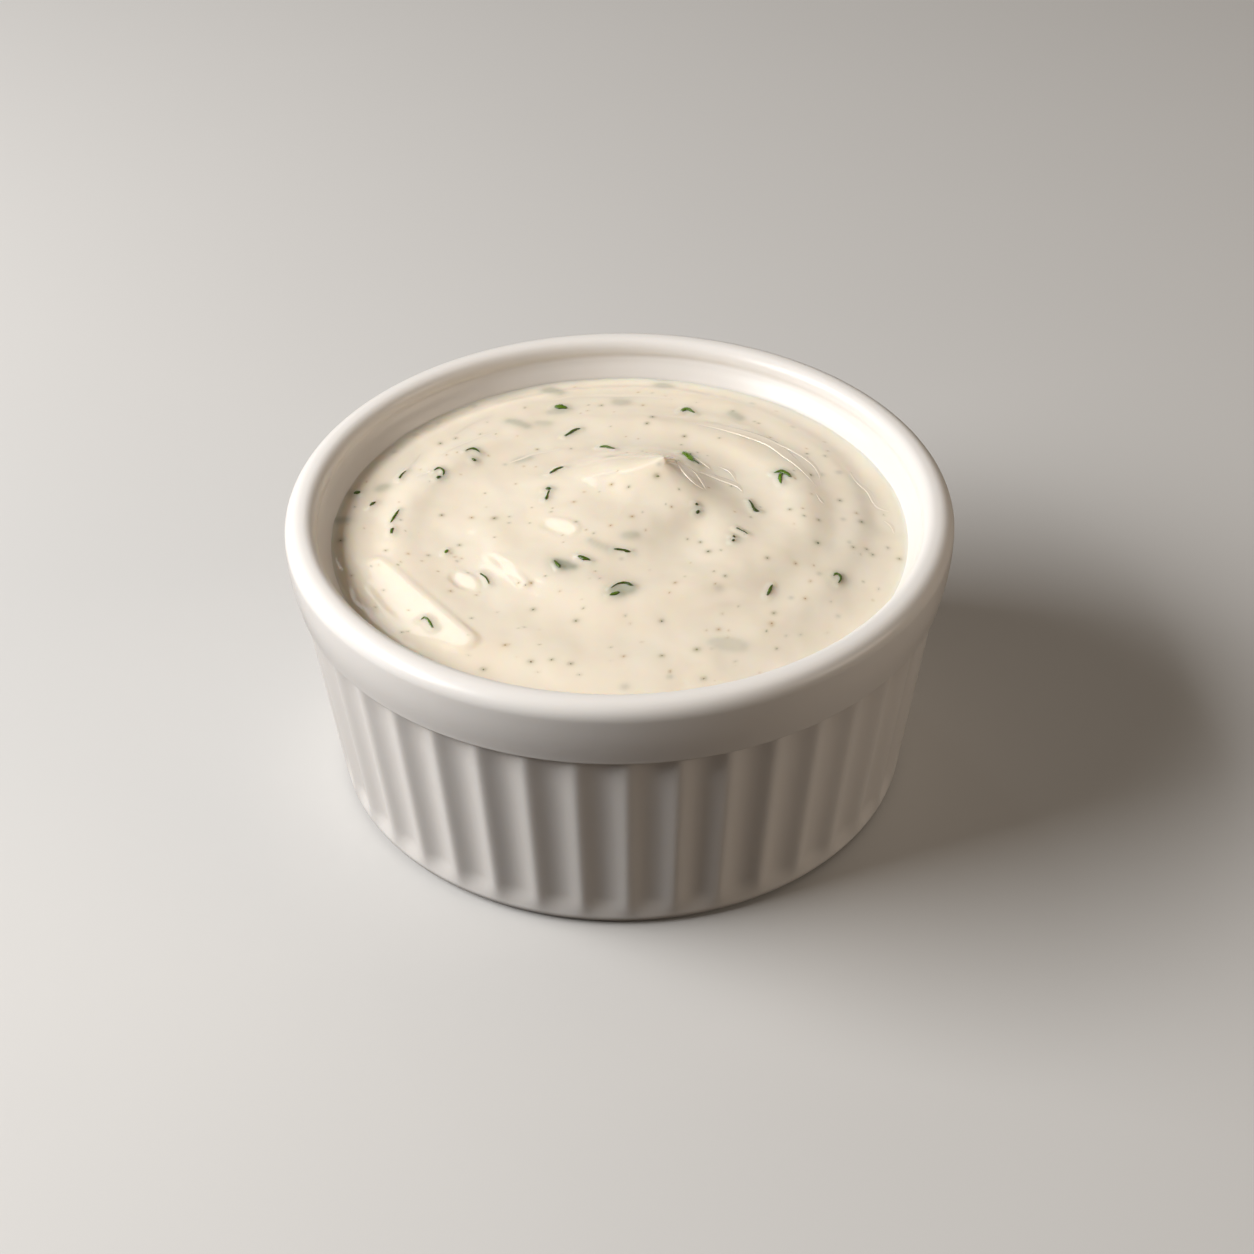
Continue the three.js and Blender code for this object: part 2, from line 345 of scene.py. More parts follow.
@dataclass(frozen=True)
class GlazeFinish:
    """White porcelain under a clear glossy glaze, bare on the foot ring, with painted shade in its flute
    hollows, under its collar and on its upper inner wall.
    """

    white: tuple = rgba(0.80, 0.765, 0.725)
    # A darker white, used for soft mottling of the glaze and for painted shade in the flute hollows, under the
    # collar and on the upper inner wall.
    mottle_and_shade_tone: tuple = rgba(0.70, 0.655, 0.61)
    bare: tuple = rgba(0.62, 0.56, 0.49)
    roughness: float = 0.30
    bare_roughness: float = 0.75
    bare_below: float = 0.35 * MM
    # Where and how strongly the upper inner wall is darkened with painted shade.
    inside_radius: tuple[float, float] = (40.2 * MM, 41.4 * MM)
    inside_height: tuple[float, float] = (20 * MM, 21 * MM)
    inside_shade: float = 0.6

    def material(self, effects: Effects) -> bpy.types.Material:
        """Builds the material."""
        material, nodes, shader = new_material("glazed_porcelain")
        drift = nodes.effect(effects.mottle, Scale=55.0, Contrast=1.6).outputs[0]
        # Painted shade: the flute hollows and the crease under the collar are darkened towards the darker
        # white.
        hollow_shade = nodes.math("MULTIPLY", nodes.attribute("hollow_shade"), 0.55)
        tone = nodes.blend(nodes.math("MULTIPLY_ADD", drift, 0.16, hollow_shade), self.white, self.mottle_and_shade_tone)
        place = nodes.add("SeparateXYZ", Vector=nodes.add("TexCoord").outputs["Object"])
        across = nodes.math("MULTIPLY", place.outputs["Y"], place.outputs["Y"])
        across = nodes.math("MULTIPLY_ADD", place.outputs["X"], place.outputs["X"], across)
        # Painted shade: the inner wall above mid-height is darkened towards the darker white.
        near, far = self.inside_radius
        within = nodes.math("SUBTRACT", 1.0, nodes.ramp(across, near**2, far**2))
        within = nodes.math("MULTIPLY", within, nodes.ramp(place.outputs["Z"], *self.inside_height))
        tone = nodes.blend(nodes.math("MULTIPLY", within, self.inside_shade), tone, self.mottle_and_shade_tone)
        pins = nodes.effect(effects.specks, Scale=330.0, Size=0.035, Share=0.05, Softness=0.03)
        pinned = nodes.blend(nodes.math("MULTIPLY", pins.outputs["Mask"], 0.35), tone, rgba(0.34, 0.26, 0.19))
        grit = nodes.effect(effects.mottle, Scale=2600.0, Contrast=2.0).outputs[0]
        edge = nodes.math("MULTIPLY_ADD", grit, -0.3 * MM, place.outputs["Z"])
        bare = nodes.math("SUBTRACT", 1.0, nodes.ramp(edge, self.bare_below - 0.3 * MM, self.bare_below))
        nodes.feed(shader.inputs["Base Color"], nodes.blend(bare, pinned, self.bare))
        glaze = nodes.math("MULTIPLY_ADD", drift, 0.06, self.roughness - 0.03)
        rough = nodes.math("MULTIPLY_ADD", bare, self.bare_roughness - self.roughness, glaze)
        nodes.feed(shader.inputs["Roughness"], rough)
        height = nodes.effect(effects.ripple, Scale=150.0, Fine_Share=0.04).outputs[0]
        bump = nodes.add("Bump", Height=height, Strength=0.35, Distance=0.05 * MM)
        nodes.feed(shader.inputs["Normal"], bump.outputs[0])
        set_sockets(shader, IOR=1.5, Specular_IOR_Level=0.32)
        set_sockets(shader, Subsurface_Weight=0.12, Subsurface_Scale=1.0 * MM)
        shader.inputs["Subsurface Radius"].default_value = (1.0, 0.8, 0.6)
        return material


@dataclass(frozen=True)
class CreamFinish:
    """Thick cream dressing: glossy, soft below the surface, with fine ground herbs and veils."""

    name: str = "ranch_cream"
    cream: tuple = rgba(0.85, 0.768, 0.638)
    warm: tuple = rgba(0.80, 0.68, 0.52)
    leaf_veil: tuple = rgba(0.32, 0.335, 0.255)
    grey_veil: tuple = rgba(0.36, 0.35, 0.29)
    olive_veil: tuple = rgba(0.27, 0.235, 0.105)
    tan_veil: tuple = rgba(0.50, 0.33, 0.14)
    roughness: float = 0.06
    soft: float = 0.5

    def material(self, effects: Effects) -> bpy.types.Material:
        """Builds the material."""
        material, nodes, shader = new_material(self.name)
        drift = nodes.effect(effects.mottle, Scale=120.0, Contrast=1.8).outputs[0]
        base = nodes.blend(nodes.math("MULTIPLY", drift, 0.5), self.cream, self.warm)
        tiny = nodes.effect(effects.specks, Scale=520.0, Size=0.10, Share=0.16, Softness=0.10)
        dust = nodes.blend(tiny.outputs["Tone"], rgba(0.42, 0.40, 0.22), rgba(0.62, 0.42, 0.20))
        dusted = nodes.blend(nodes.math("MULTIPLY", tiny.outputs["Mask"], 0.30), base, dust)
        veiled = dusted
        for name in ("tan_veil", "olive_veil", "grey_veil", "leaf_veil"):
            veiled = nodes.blend(nodes.attribute(name), veiled, getattr(self, name))
        nodes.feed(shader.inputs["Base Color"], veiled)
        nodes.feed(shader.inputs["Roughness"], nodes.math("MULTIPLY_ADD", drift, 0.05, self.roughness))
        height = nodes.effect(effects.ripple, Scale=260.0, Fine_Share=0.12).outputs[0]
        bump = nodes.add("Bump", Height=height, Strength=0.3, Distance=0.03 * MM)
        nodes.feed(shader.inputs["Normal"], bump.outputs[0])
        set_sockets(shader, IOR=1.42, Subsurface_Weight=self.soft, Subsurface_Scale=2.0 * MM)
        shader.inputs["Subsurface Radius"].default_value = (1.0, 0.6, 0.3)
        return material


@dataclass(frozen=True)
class LeafFinish:
    """Moist chopped herb leaf, darker at the cut edges and brighter along its middle."""

    dark: tuple = rgba(0.035, 0.050, 0.006)
    bright: tuple = rgba(0.13, 0.26, 0.010)
    film: tuple = rgba(0.42, 0.45, 0.33)
    roughness: float = 0.30

    def material(self, effects: Effects) -> bpy.types.Material:
        """Builds the material."""
        material, nodes, shader = new_material("herb_leaf")
        drift = nodes.effect(effects.mottle, Scale=1500.0, Contrast=2.2).outputs[0]
        heart = nodes.math("MULTIPLY", nodes.attribute("heart"), nodes.math("MULTIPLY_ADD", drift, 0.8, 0.45))
        leaf = nodes.blend(heart, self.dark, self.bright)
        nodes.feed(shader.inputs["Base Color"], nodes.blend(nodes.attribute("film"), leaf, self.film))
        nodes.feed(shader.inputs["Roughness"], nodes.math("MULTIPLY_ADD", drift, 0.2, self.roughness - 0.1))
        height = nodes.effect(effects.ripple, Scale=2500.0, Fine_Share=0.4).outputs[0]
        bump = nodes.add("Bump", Height=height, Strength=0.5, Distance=0.04 * MM)
        nodes.feed(shader.inputs["Normal"], bump.outputs[0])
        set_sockets(shader, IOR=1.42, Coat_Weight=0.4, Coat_Roughness=0.12)
        return material


@dataclass(frozen=True)
class GrainFinish:
    """Ground spice, each grain with a tone of its own between two colours."""

    name: str
    dark: tuple
    light: tuple
    roughness: float = 0.45

    def material(self, effects: Effects) -> bpy.types.Material:
        """Builds the material."""
        material, nodes, shader = new_material(self.name)
        island = nodes.add("NewGeometry").outputs["Random Per Island"]
        drift = nodes.effect(effects.mottle, Scale=2500.0, Contrast=2.5).outputs[0]
        share = nodes.math("MULTIPLY_ADD", drift, 0.5, nodes.math("MULTIPLY_ADD", island, 0.9, -0.2))
        nodes.feed(shader.inputs["Base Color"], nodes.blend(share, self.dark, self.light))
        nodes.feed(shader.inputs["Roughness"], nodes.math("MULTIPLY_ADD", drift, 0.25, self.roughness - 0.12))
        height = nodes.effect(effects.ripple, Scale=3500.0, Fine_Share=0.5).outputs[0]
        bump = nodes.add("Bump", Height=height, Strength=0.6, Distance=0.04 * MM)
        nodes.feed(shader.inputs["Normal"], bump.outputs[0])
        set_sockets(shader, IOR=1.42, Coat_Weight=0.25, Coat_Roughness=0.15)
        return material


@dataclass(frozen=True)
class StudioFinish:
    """Plain pale studio floor with a very faint grain, which throws little light back at the dish."""

    seen: tuple = rgba(0.60, 0.585, 0.565)
    returned: tuple = rgba(0.07, 0.055, 0.045)

    def material(self, effects: Effects) -> bpy.types.Material:
        """Builds the material."""
        material, nodes, shader = new_material("studio_floor")
        drift = nodes.effect(effects.mottle, Scale=9.0, Contrast=1.0).outputs[0]
        darker = rgba(*(0.96 * part for part in self.seen[:3]))
        pale = nodes.blend(drift, self.seen, darker)
        direct = nodes.add("LightPath").outputs["Is Camera Ray"]
        nodes.feed(shader.inputs["Base Color"], nodes.blend(direct, self.returned, pale))
        set_sockets(shader, Roughness=0.7)
        return material


# -------------------------------------------------------------------- ramekin


@dataclass(frozen=True)
class Ramekin:
    """The fluted dish: a tapered bowl with a rolled rim over a plain collar, and a foot ring."""

    rim_radius: float = 44.5 * MM
    height: float = 40.6 * MM
    collar_bottom: float = 31.2 * MM
    collar_bottom_radius: float = 43.7 * MM
    collar_edge_round: float = 0.45 * MM
    collar_bulge: float = 0.22 * MM
    collar_fillet: float = 0.5 * MM
    rim_outer_round: float = 2.1 * MM
    rim_inner_round: float = 1.8 * MM
    lip_radius: float = 40.3 * MM
    lip_ledge: float = 0.12 * MM
    wall_top_radius: float = 43.1 * MM
    base_radius: float = 39.2 * MM
    base_edge_round: float = 1.9 * MM
    flute_fade: tuple[float, float] = (0.9 * MM, 5.2 * MM)
    flutes: int = 42
    flute_depth: float = 0.65 * MM
    crest_share: float = 0.28
    flute_phase: float = math.radians(0.8)
    floor_thickness: float = 4.5 * MM
    inner_bottom_radius: float = 34.6 * MM
    inner_corner_round: float = 3.2 * MM
    foot_recess: float = 1.2 * MM
    foot_inner_radius: float = 34.4 * MM
    foot_round: float = 0.4 * MM
    fill_edge_radius: float = 38.6 * MM
    fill_edge_height: float = 35.6 * MM
    samples: int = 20

    def crest_radius(self, z: float) -> float:
        """Radius over the flute crests at a height of the outer wall."""
        return self.base_radius + (self.wall_top_radius - self.base_radius) * z / self.collar_bottom

    def inner_radius(self, z: float) -> float:
        """Radius of the inner wall at a height, up to the edge of the filling."""
        bottom = self.floor_thickness + self.inner_corner_round
        slope = (self.fill_edge_radius - self.inner_bottom_radius) / (self.fill_edge_height - bottom)
        return self.inner_bottom_radius + slope * (z - bottom)

    def hollow(self, angle: np.ndarray) -> np.ndarray:
        """How far a point of the wall is cut in.

        Args:
            angle: Angles around the dish.

        Returns:
            0 on a narrow crest, 1 in the middle of a wide hollow.
        """
        turn = (angle - self.flute_phase) * self.flutes / (2 * np.pi)
        from_crest = 2 * np.abs(turn - np.round(turn))
        soft = self.crest_share
        rise = (np.hypot(from_crest, soft) - soft) / (math.hypot(1, soft) - soft)
        return 1 - (1 - rise) ** 2

    def _inside(self) -> list[tuple[float, float, float]]:
        """Rows over the floor and up the inner wall, as (radius, height, flute cut)."""
        corner = self.inner_bottom_radius - self.inner_corner_round
        centre = (corner, self.floor_thickness + self.inner_corner_round)
        points = [(r, self.floor_thickness) for r in (0.3 * corner, 0.7 * corner)]
        points += arc(centre, self.inner_corner_round, -90, 0, 6)
        points += [(self.inner_radius(z), z) for z in np.linspace(0.25, 1, 4) * self.fill_edge_height][1:]
        return [(r, z, 0.0) for r, z in points]

    def _rim(self) -> list[tuple[float, float, float]]:
        """Rows from the edge of the filling over the lip and the rolled rim to the collar's top."""
        inner = (self.lip_radius + self.rim_inner_round, self.height - self.rim_inner_round)
        bead = arc(inner, self.rim_inner_round, 195, 90, 14)
        low = (self.fill_edge_radius, self.fill_edge_height)
        wall = []
        for share in np.linspace(0, 1, 9)[1:-1]:
            step = self.lip_ledge * (math.tanh((share - 0.55) * 14) - math.tanh(-7.7)) * (1 - share)
            radius = low[0] + (bead[0][0] - low[0]) * share + step
            wall.append((radius, low[1] + (bead[0][1] - low[1]) * share))
        outer = (self.rim_radius - self.rim_outer_round, self.height - self.rim_outer_round)
        points = wall + bead + arc(outer, self.rim_outer_round, 90, 0, 14)
        return [(r, z, 0.0) for r, z in points]

    def _collar(self) -> list[tuple[float, float, float]]:
        """Rows down the slightly rounded collar and round its lower edge."""
        top = self.height - self.rim_outer_round
        low = self.collar_bottom + self.collar_edge_round
        points = []
        for share in np.linspace(0, 1, 12)[1:-1]:
            bulge = self.collar_bulge * math.sin(math.pi * share)
            straight = self.rim_radius + (self.collar_bottom_radius - self.rim_radius) * share
            points.append((straight + bulge, top + (low - top) * share))
        centre = (self.collar_bottom_radius - self.collar_edge_round, low)
        points += arc(centre, self.collar_edge_round, 0, -90, 6)
        return [(r, z, 0.0) for r, z in points]

    def _fade(self, z: float) -> float:
        """Depth of the flutes at a height: they run out into a plain foot."""
        low, high = self.flute_fade
        share = min(1.0, max(0.0, (z - low) / (high - low)))
        return self.flute_depth * share * share * (3 - 2 * share)

    def _wall(self) -> list[tuple[float, float, float]]:
        """Rows of the fillet under the collar, the fluted wall and the round edge of the foot."""
        start = self.collar_bottom_radius - self.collar_edge_round
        rows = []
        for turn in np.radians(np.linspace(0, 90, 7))[1:]:
            share = math.sin(turn)
            z = self.collar_bottom - self.collar_fillet * (1 - math.cos(turn))
            rows.append(((1 - share) * start + share * self.crest_radius(z), z, share * self.flute_depth))
        top = self.collar_bottom - self.collar_fillet
        fade_top = self.flute_fade[1]
        heights = [*np.linspace(top, fade_top, 7)[1:]]
        heights += [*np.linspace(fade_top, self.base_edge_round, 8)[1:-1]]
        rows += [(self.crest_radius(z), z, self._fade(z)) for z in heights]
        edge = self.crest_radius(self.base_edge_round) - self.base_edge_round
        bottom = arc((edge, self.base_edge_round), self.base_edge_round, 0, -90, 12)
        rows += [(r, z, self._fade(z)) for r, z in bottom]
        return rows

    def _foot(self) -> list[tuple[float, float, float]]:
        """Rows of the foot ring's flat and the recess under the dish."""
        soft = self.foot_round
        points = [(self.foot_inner_radius + 3 * soft, 0.0)]
        points += arc((self.foot_inner_radius + soft, soft), soft, -90, -180, 4)
        points += [(self.foot_inner_radius, self.foot_recess - soft)]
        points += arc((self.foot_inner_radius - soft, self.foot_recess - soft), soft, 0, 90, 4)[1:]
        points += [(share * self.foot_inner_radius, self.foot_recess) for share in (0.7, 0.35)]
        return [(r, z, 0.0) for r, z in points]

    def build(self) -> bpy.types.Object:
        """Makes the porcelain piece, with painted shade in its flute hollows and under its collar marked."""
        rows = self._inside() + self._rim() + self._collar() + self._wall() + self._foot()
        angle = np.linspace(0, 2 * np.pi, self.flutes * self.samples, endpoint=False)
        cut = self.hollow(angle)
        radius = np.array([r - share * cut for r, _, share in rows])
        height = np.array([[z] for _, z, _ in rows]) + 0 * radius
        rings = np.stack([radius * np.sin(angle), -radius * np.cos(angle), height], axis=-1)
        lofts = Lofts()
        lofts.add(rings, np.array([0, 0, self.floor_thickness]), np.array([0, 0, self.foot_recess]))
        piece = lofts.piece("ramekin_porcelain")
        # Painted shade: strongest in the deepest flute hollows and along a painted shadow line under the
        # collar.
        depth = np.array([share / self.flute_depth * cut for _, _, share in rows])
        under = np.exp(-np.abs(height - self.collar_bottom) / (0.6 * MM)) * (depth > 0)
        mark(piece, "hollow_shade", np.append(np.clip(0.6 * depth + 0.7 * under, 0, 1).ravel(), [0.0, 0.0]))
        return piece

    def dress(self, piece: bpy.types.Object, effects: Effects) -> None:
        """Gives the porcelain its glaze."""
        piece.data.materials.append(GlazeFinish().material(effects))


# ------------------------------------------------------------------- dressing


@dataclass(frozen=True)
class Mound:
    """The low mound in the middle of the swirl, a little oval and steepest on one side."""

    x: float = 0.2 * MM
    y: float = 4.9 * MM
    radius: float = 11.6 * MM
    height: float = 1.65 * MM
    power: float = 5.7
    oval: float = 0.16
    oval_at: float = 56
    steep: float = 0.37
    steep_at: float = 11

    def rise(self, x: np.ndarray, y: np.ndarray) -> np.ndarray:
        """Height that the mound adds at plan places."""
        angle = np.arctan2(y - self.y, x - self.x)
        reach = self.radius * (1 + self.oval * np.cos(2 * (angle - math.radians(self.oval_at))))
        power = self.power * (1 + self.steep * np.cos(angle - math.radians(self.steep_at)))
        return self.height / (1 + (np.hypot(x - self.x, y - self.y) / reach) ** power)


@dataclass(frozen=True)
class Crest:
    """The curved crest that the spoon drew along the back of the mound, fading away from the peak."""

    x: float = 1.0 * MM
    y: float = 3.6 * MM
    radius: float = 9.6 * MM
    height: float = 0.35 * MM
    width: float = 1.6 * MM
    start: float = 50
    sweep: float = 110

    def rise(self, x: np.ndarray, y: np.ndarray) -> np.ndarray:
        """Height that the crest adds at plan places."""
        offset = np.hypot(x - self.x, y - self.y) - self.radius
        turn = np.degrees(np.arctan2(y - self.y, x - self.x)) - self.start
        along = np.mod(turn, 360) / self.sweep
        return self.height * np.where(along < 1, (1 - along) ** 2, 0) * np.exp(-((offset / self.width) ** 2))


@dataclass(frozen=True)
class Ring:
    """One ring of the swirl: an uneven oval about the middle of the dish, higher on one side.

    Attributes:
        radius: Mean radius in millimetres.
        reach: How far it is off the middle, in millimetres.
        reach_at: Direction of that, in degrees from +X.
        oval: How oval it is, in millimetres.
        oval_at: Direction of its long axis.
        height: Mean height in millimetres.
        inner: Width of its inner slope in millimetres.
        outer: Width of its outer slope in millimetres.
        swing: Share by which its height swings round the dish.
        swing_at: Direction in which it is highest.
    """

    radius: float
    reach: float
    reach_at: float
    oval: float
    oval_at: float
    height: float
    inner: float
    outer: float
    swing: float
    swing_at: float

    def rise(self, x: np.ndarray, y: np.ndarray) -> np.ndarray:
        """Height that the ring adds at plan places."""
        angle = np.degrees(np.arctan2(y, x))
        shift = self.reach * np.cos(np.radians(angle - self.reach_at))
        oval = self.oval * np.cos(np.radians(2 * (angle - self.oval_at)))
        offset = np.hypot(x, y) / MM - self.radius - shift - oval
        crest = self.height * MM * (1 + self.swing * np.cos(np.radians(angle - self.swing_at)))
        return crest * np.exp(-((offset / np.where(offset < 0, self.inner, self.outer)) ** 2))


@dataclass(frozen=True)
class Fold:
    """A thin fold of dressing: a crisp lip, and a slow fall to the left of its route.

    Attributes:
        route: The (x, y) points of the lip in millimetres.
        height: Height of the lip, in millimetres.
        fall: How far the sheet reaches from the lip, in millimetres.
    """

    route: tuple[tuple[float, float], ...]
    height: float = 0.10
    fall: float = 1.2

    def line(self) -> np.ndarray:
        """The (x, y) points of the lip, in metres."""
        return smooth_route(np.array(self.route, float) * MM, 8)

    def add_sheet(self, lofts: Lofts, dressing: "Dressing") -> None:
        """Adds the sheet, tapered at both ends, with its far side and its underside below the surface.

        Args:
            lofts: Where it is gathered.
            dressing: The surface that it lies on.
        """
        line = self.line()
        way = np.gradient(line, axis=0)
        way /= np.linalg.norm(way, axis=1)[:, None]
        taper = np.sin(np.linspace(0, np.pi, len(line)))[1:-1, None] ** 0.7
        line, way = line[1:-1], way[1:-1]
        behind = np.array([1, 0.7, 0.45, 0.25, 0.1, 0]) * self.fall
        face = np.array([0.35, 0.7, 1, 0.4]) * -0.9 * self.height
        across = np.concatenate([behind, face, [0.5 * self.fall]]) * MM
        share = np.array([0, 0.14, 0.38, 0.68, 0.93, 1, 0.85, 0.35, 0, 0, 0])
        sunk = np.array([0.03, 0, 0, 0, 0, 0, 0, 0, 0.03, 0.12, 0.12]) * MM
        x = line[:, :1] - way[:, 1:] * across * taper
        y = line[:, 1:] + way[:, :1] * across * taper
        rings = dressing.surface(x, y)
        rings[..., 2] += self.height * MM * share * taper - sunk - 0.02 * MM * (1 - taper)
        lofts.add(rings, rings[0].mean(axis=0), rings[-1].mean(axis=0))


@dataclass(frozen=True)
class Peak:
    """The small curled peak: the surface drawn up to a tip that leans as it rises."""

    x: float = 6.2 * MM
    y: float = 10.05 * MM
    height: float = 40.5 * MM
    lean: float = 1.1 * MM
    foot: float = 8.5 * MM
    left_reach: float = 0.75
    right_reach: float = 1.15

    def pull(self, x: np.ndarray, y: np.ndarray) -> np.ndarray:
        """Share of the pull at plan places before they are drawn: 1 at the tip, 0 beyond the foot."""
        away = x - (self.x - self.lean)
        away = away * np.where(away < 0, self.left_reach, self.right_reach)
        return np.clip(1 - np.hypot(away, y - self.y) / self.foot, 0, 1) ** 2


@dataclass(frozen=True)
class Press:
    """A place that the back of the spoon has smoothed to one even slope, in plan and in millimetres.

    Attributes:
        line: Points (x, y, width) along its middle.
        rise: How steeply it rises towards +X and towards +Y.
        soft: Width of its soft edge.
    """

    line: tuple[tuple[float, float, float], ...]
    rise: tuple[float, float]
    soft: float

    def smooth(self, x: np.ndarray, y: np.ndarray, z: np.ndarray, level: Callable) -> np.ndarray:
        """Draws heights towards the even slope.

        Args:
            x: Plan places in metres.
            y: Plan places in metres.
            z: Heights there.
            level: Gives the height of the stirred surface at a place.

        Returns:
            The new heights.
        """
        line = np.array(self.line)
        along = np.concatenate([[0], np.cumsum(np.hypot(*np.diff(line[:, :2], axis=0).T))])
        stations = np.linspace(0, along[-1], 40)
        places = np.stack([np.interp(stations, along, line[:, k]) for k in range(3)], axis=-1)
        gap = np.full(np.shape(x), 99.0)
        for px, py, width in places:
            gap = np.minimum(gap, np.hypot(x / MM - px, y / MM - py) - width / 2)
        share = np.exp(-((np.maximum(gap, 0) / self.soft) ** 4))
        mx, my = places[:, 0].mean() * MM, places[:, 1].mean() * MM
        even = level(mx, my) + self.rise[0] * (x - mx) + self.rise[1] * (y - my)
        return z + share * (even - z)


@dataclass(frozen=True)
class Blade:
    """One strip of chopped leaf, in plan and in millimetres.

    Attributes:
        line: Points (x, y, width) along its middle.
        tone: 0 is nearly black, 1 is bright green.
        veil: How much the dressing round it is tinted.
        sunk: Whether it lies wholly under the surface, so that only its tint shows.
    """

    line: tuple[tuple[float, float, float], ...]
    tone: float
    veil: float
    sunk: bool = False

    def stations(self, count: int) -> tuple[np.ndarray, np.ndarray, np.ndarray]:
        """Evenly spread points of the middle line.

        Args:
            count: Number of points.

        Returns:
            Their places, their widths and the directions across the strip.
        """
        route = smooth_route(np.array(self.line), 24)
        step = np.hypot(*np.diff(route[:, :2], axis=0).T)
        along = np.concatenate([[0], np.cumsum(step)])
        share = np.linspace(0, along[-1], count)
        x, y, width = (np.interp(share, along, route[:, k]) for k in range(3))
        width = np.maximum(width, 0.06)
        heading = np.arctan2(np.gradient(y), np.gradient(x))
        return np.stack([x, y], axis=-1), width, np.stack([-np.sin(heading), np.cos(heading)], axis=-1)

    def beyond(self, x: np.ndarray, y: np.ndarray) -> np.ndarray:
        """How far plan places in metres lie beyond the strip's edge, in millimetres."""
        places, width, _ = self.stations(6)
        gap = np.full(np.shape(x), 99.0)
        for (px, py), wide in zip(places, width):
            gap = np.minimum(gap, np.hypot(x / MM - px, y / MM - py) - wide / 2)
        return np.maximum(gap, 0)

    def tint(self, x: np.ndarray, y: np.ndarray) -> np.ndarray:
        """How much the strip tints the dressing at plan places: strongly over it, faintly round it."""
        gap = self.beyond(x, y)
        over, edge = (0.5, 0.6) if self.sunk else (0.35, 0.35)
        return self.veil * (over * np.exp(-((gap / edge) ** 2)) + 0.35 * np.exp(-((gap / 1.1) ** 2)))


class Speck(Enum):
    """Kinds of small specks in the dressing, with the tone of their herb or grain."""

    HERB = "a crumb of dark green herb"
    PEPPER = "a grain of black pepper"
    ONION = "a tan or orange-brown grain of ground onion"
    SUNK = "a crumb under the surface, seen as a grey blur"


@dataclass(frozen=True)
class Grain:
    """One small speck, in plan and in millimetres."""

    x: float
    y: float
    size: float
    kind: Speck

    def tint(self, x: np.ndarray, y: np.ndarray) -> np.ndarray:
        """How much the speck tints the dressing at plan places in metres."""
        gap = np.hypot(x / MM - self.x, y / MM - self.y) / self.size
        if self.kind is Speck.SUNK:
            return 0.4 * np.exp(-((gap / 0.65) ** 2))
        return 0.5 * np.exp(-((gap / 0.55) ** 2)) + 0.12 * np.exp(-((gap / 1.3) ** 2))


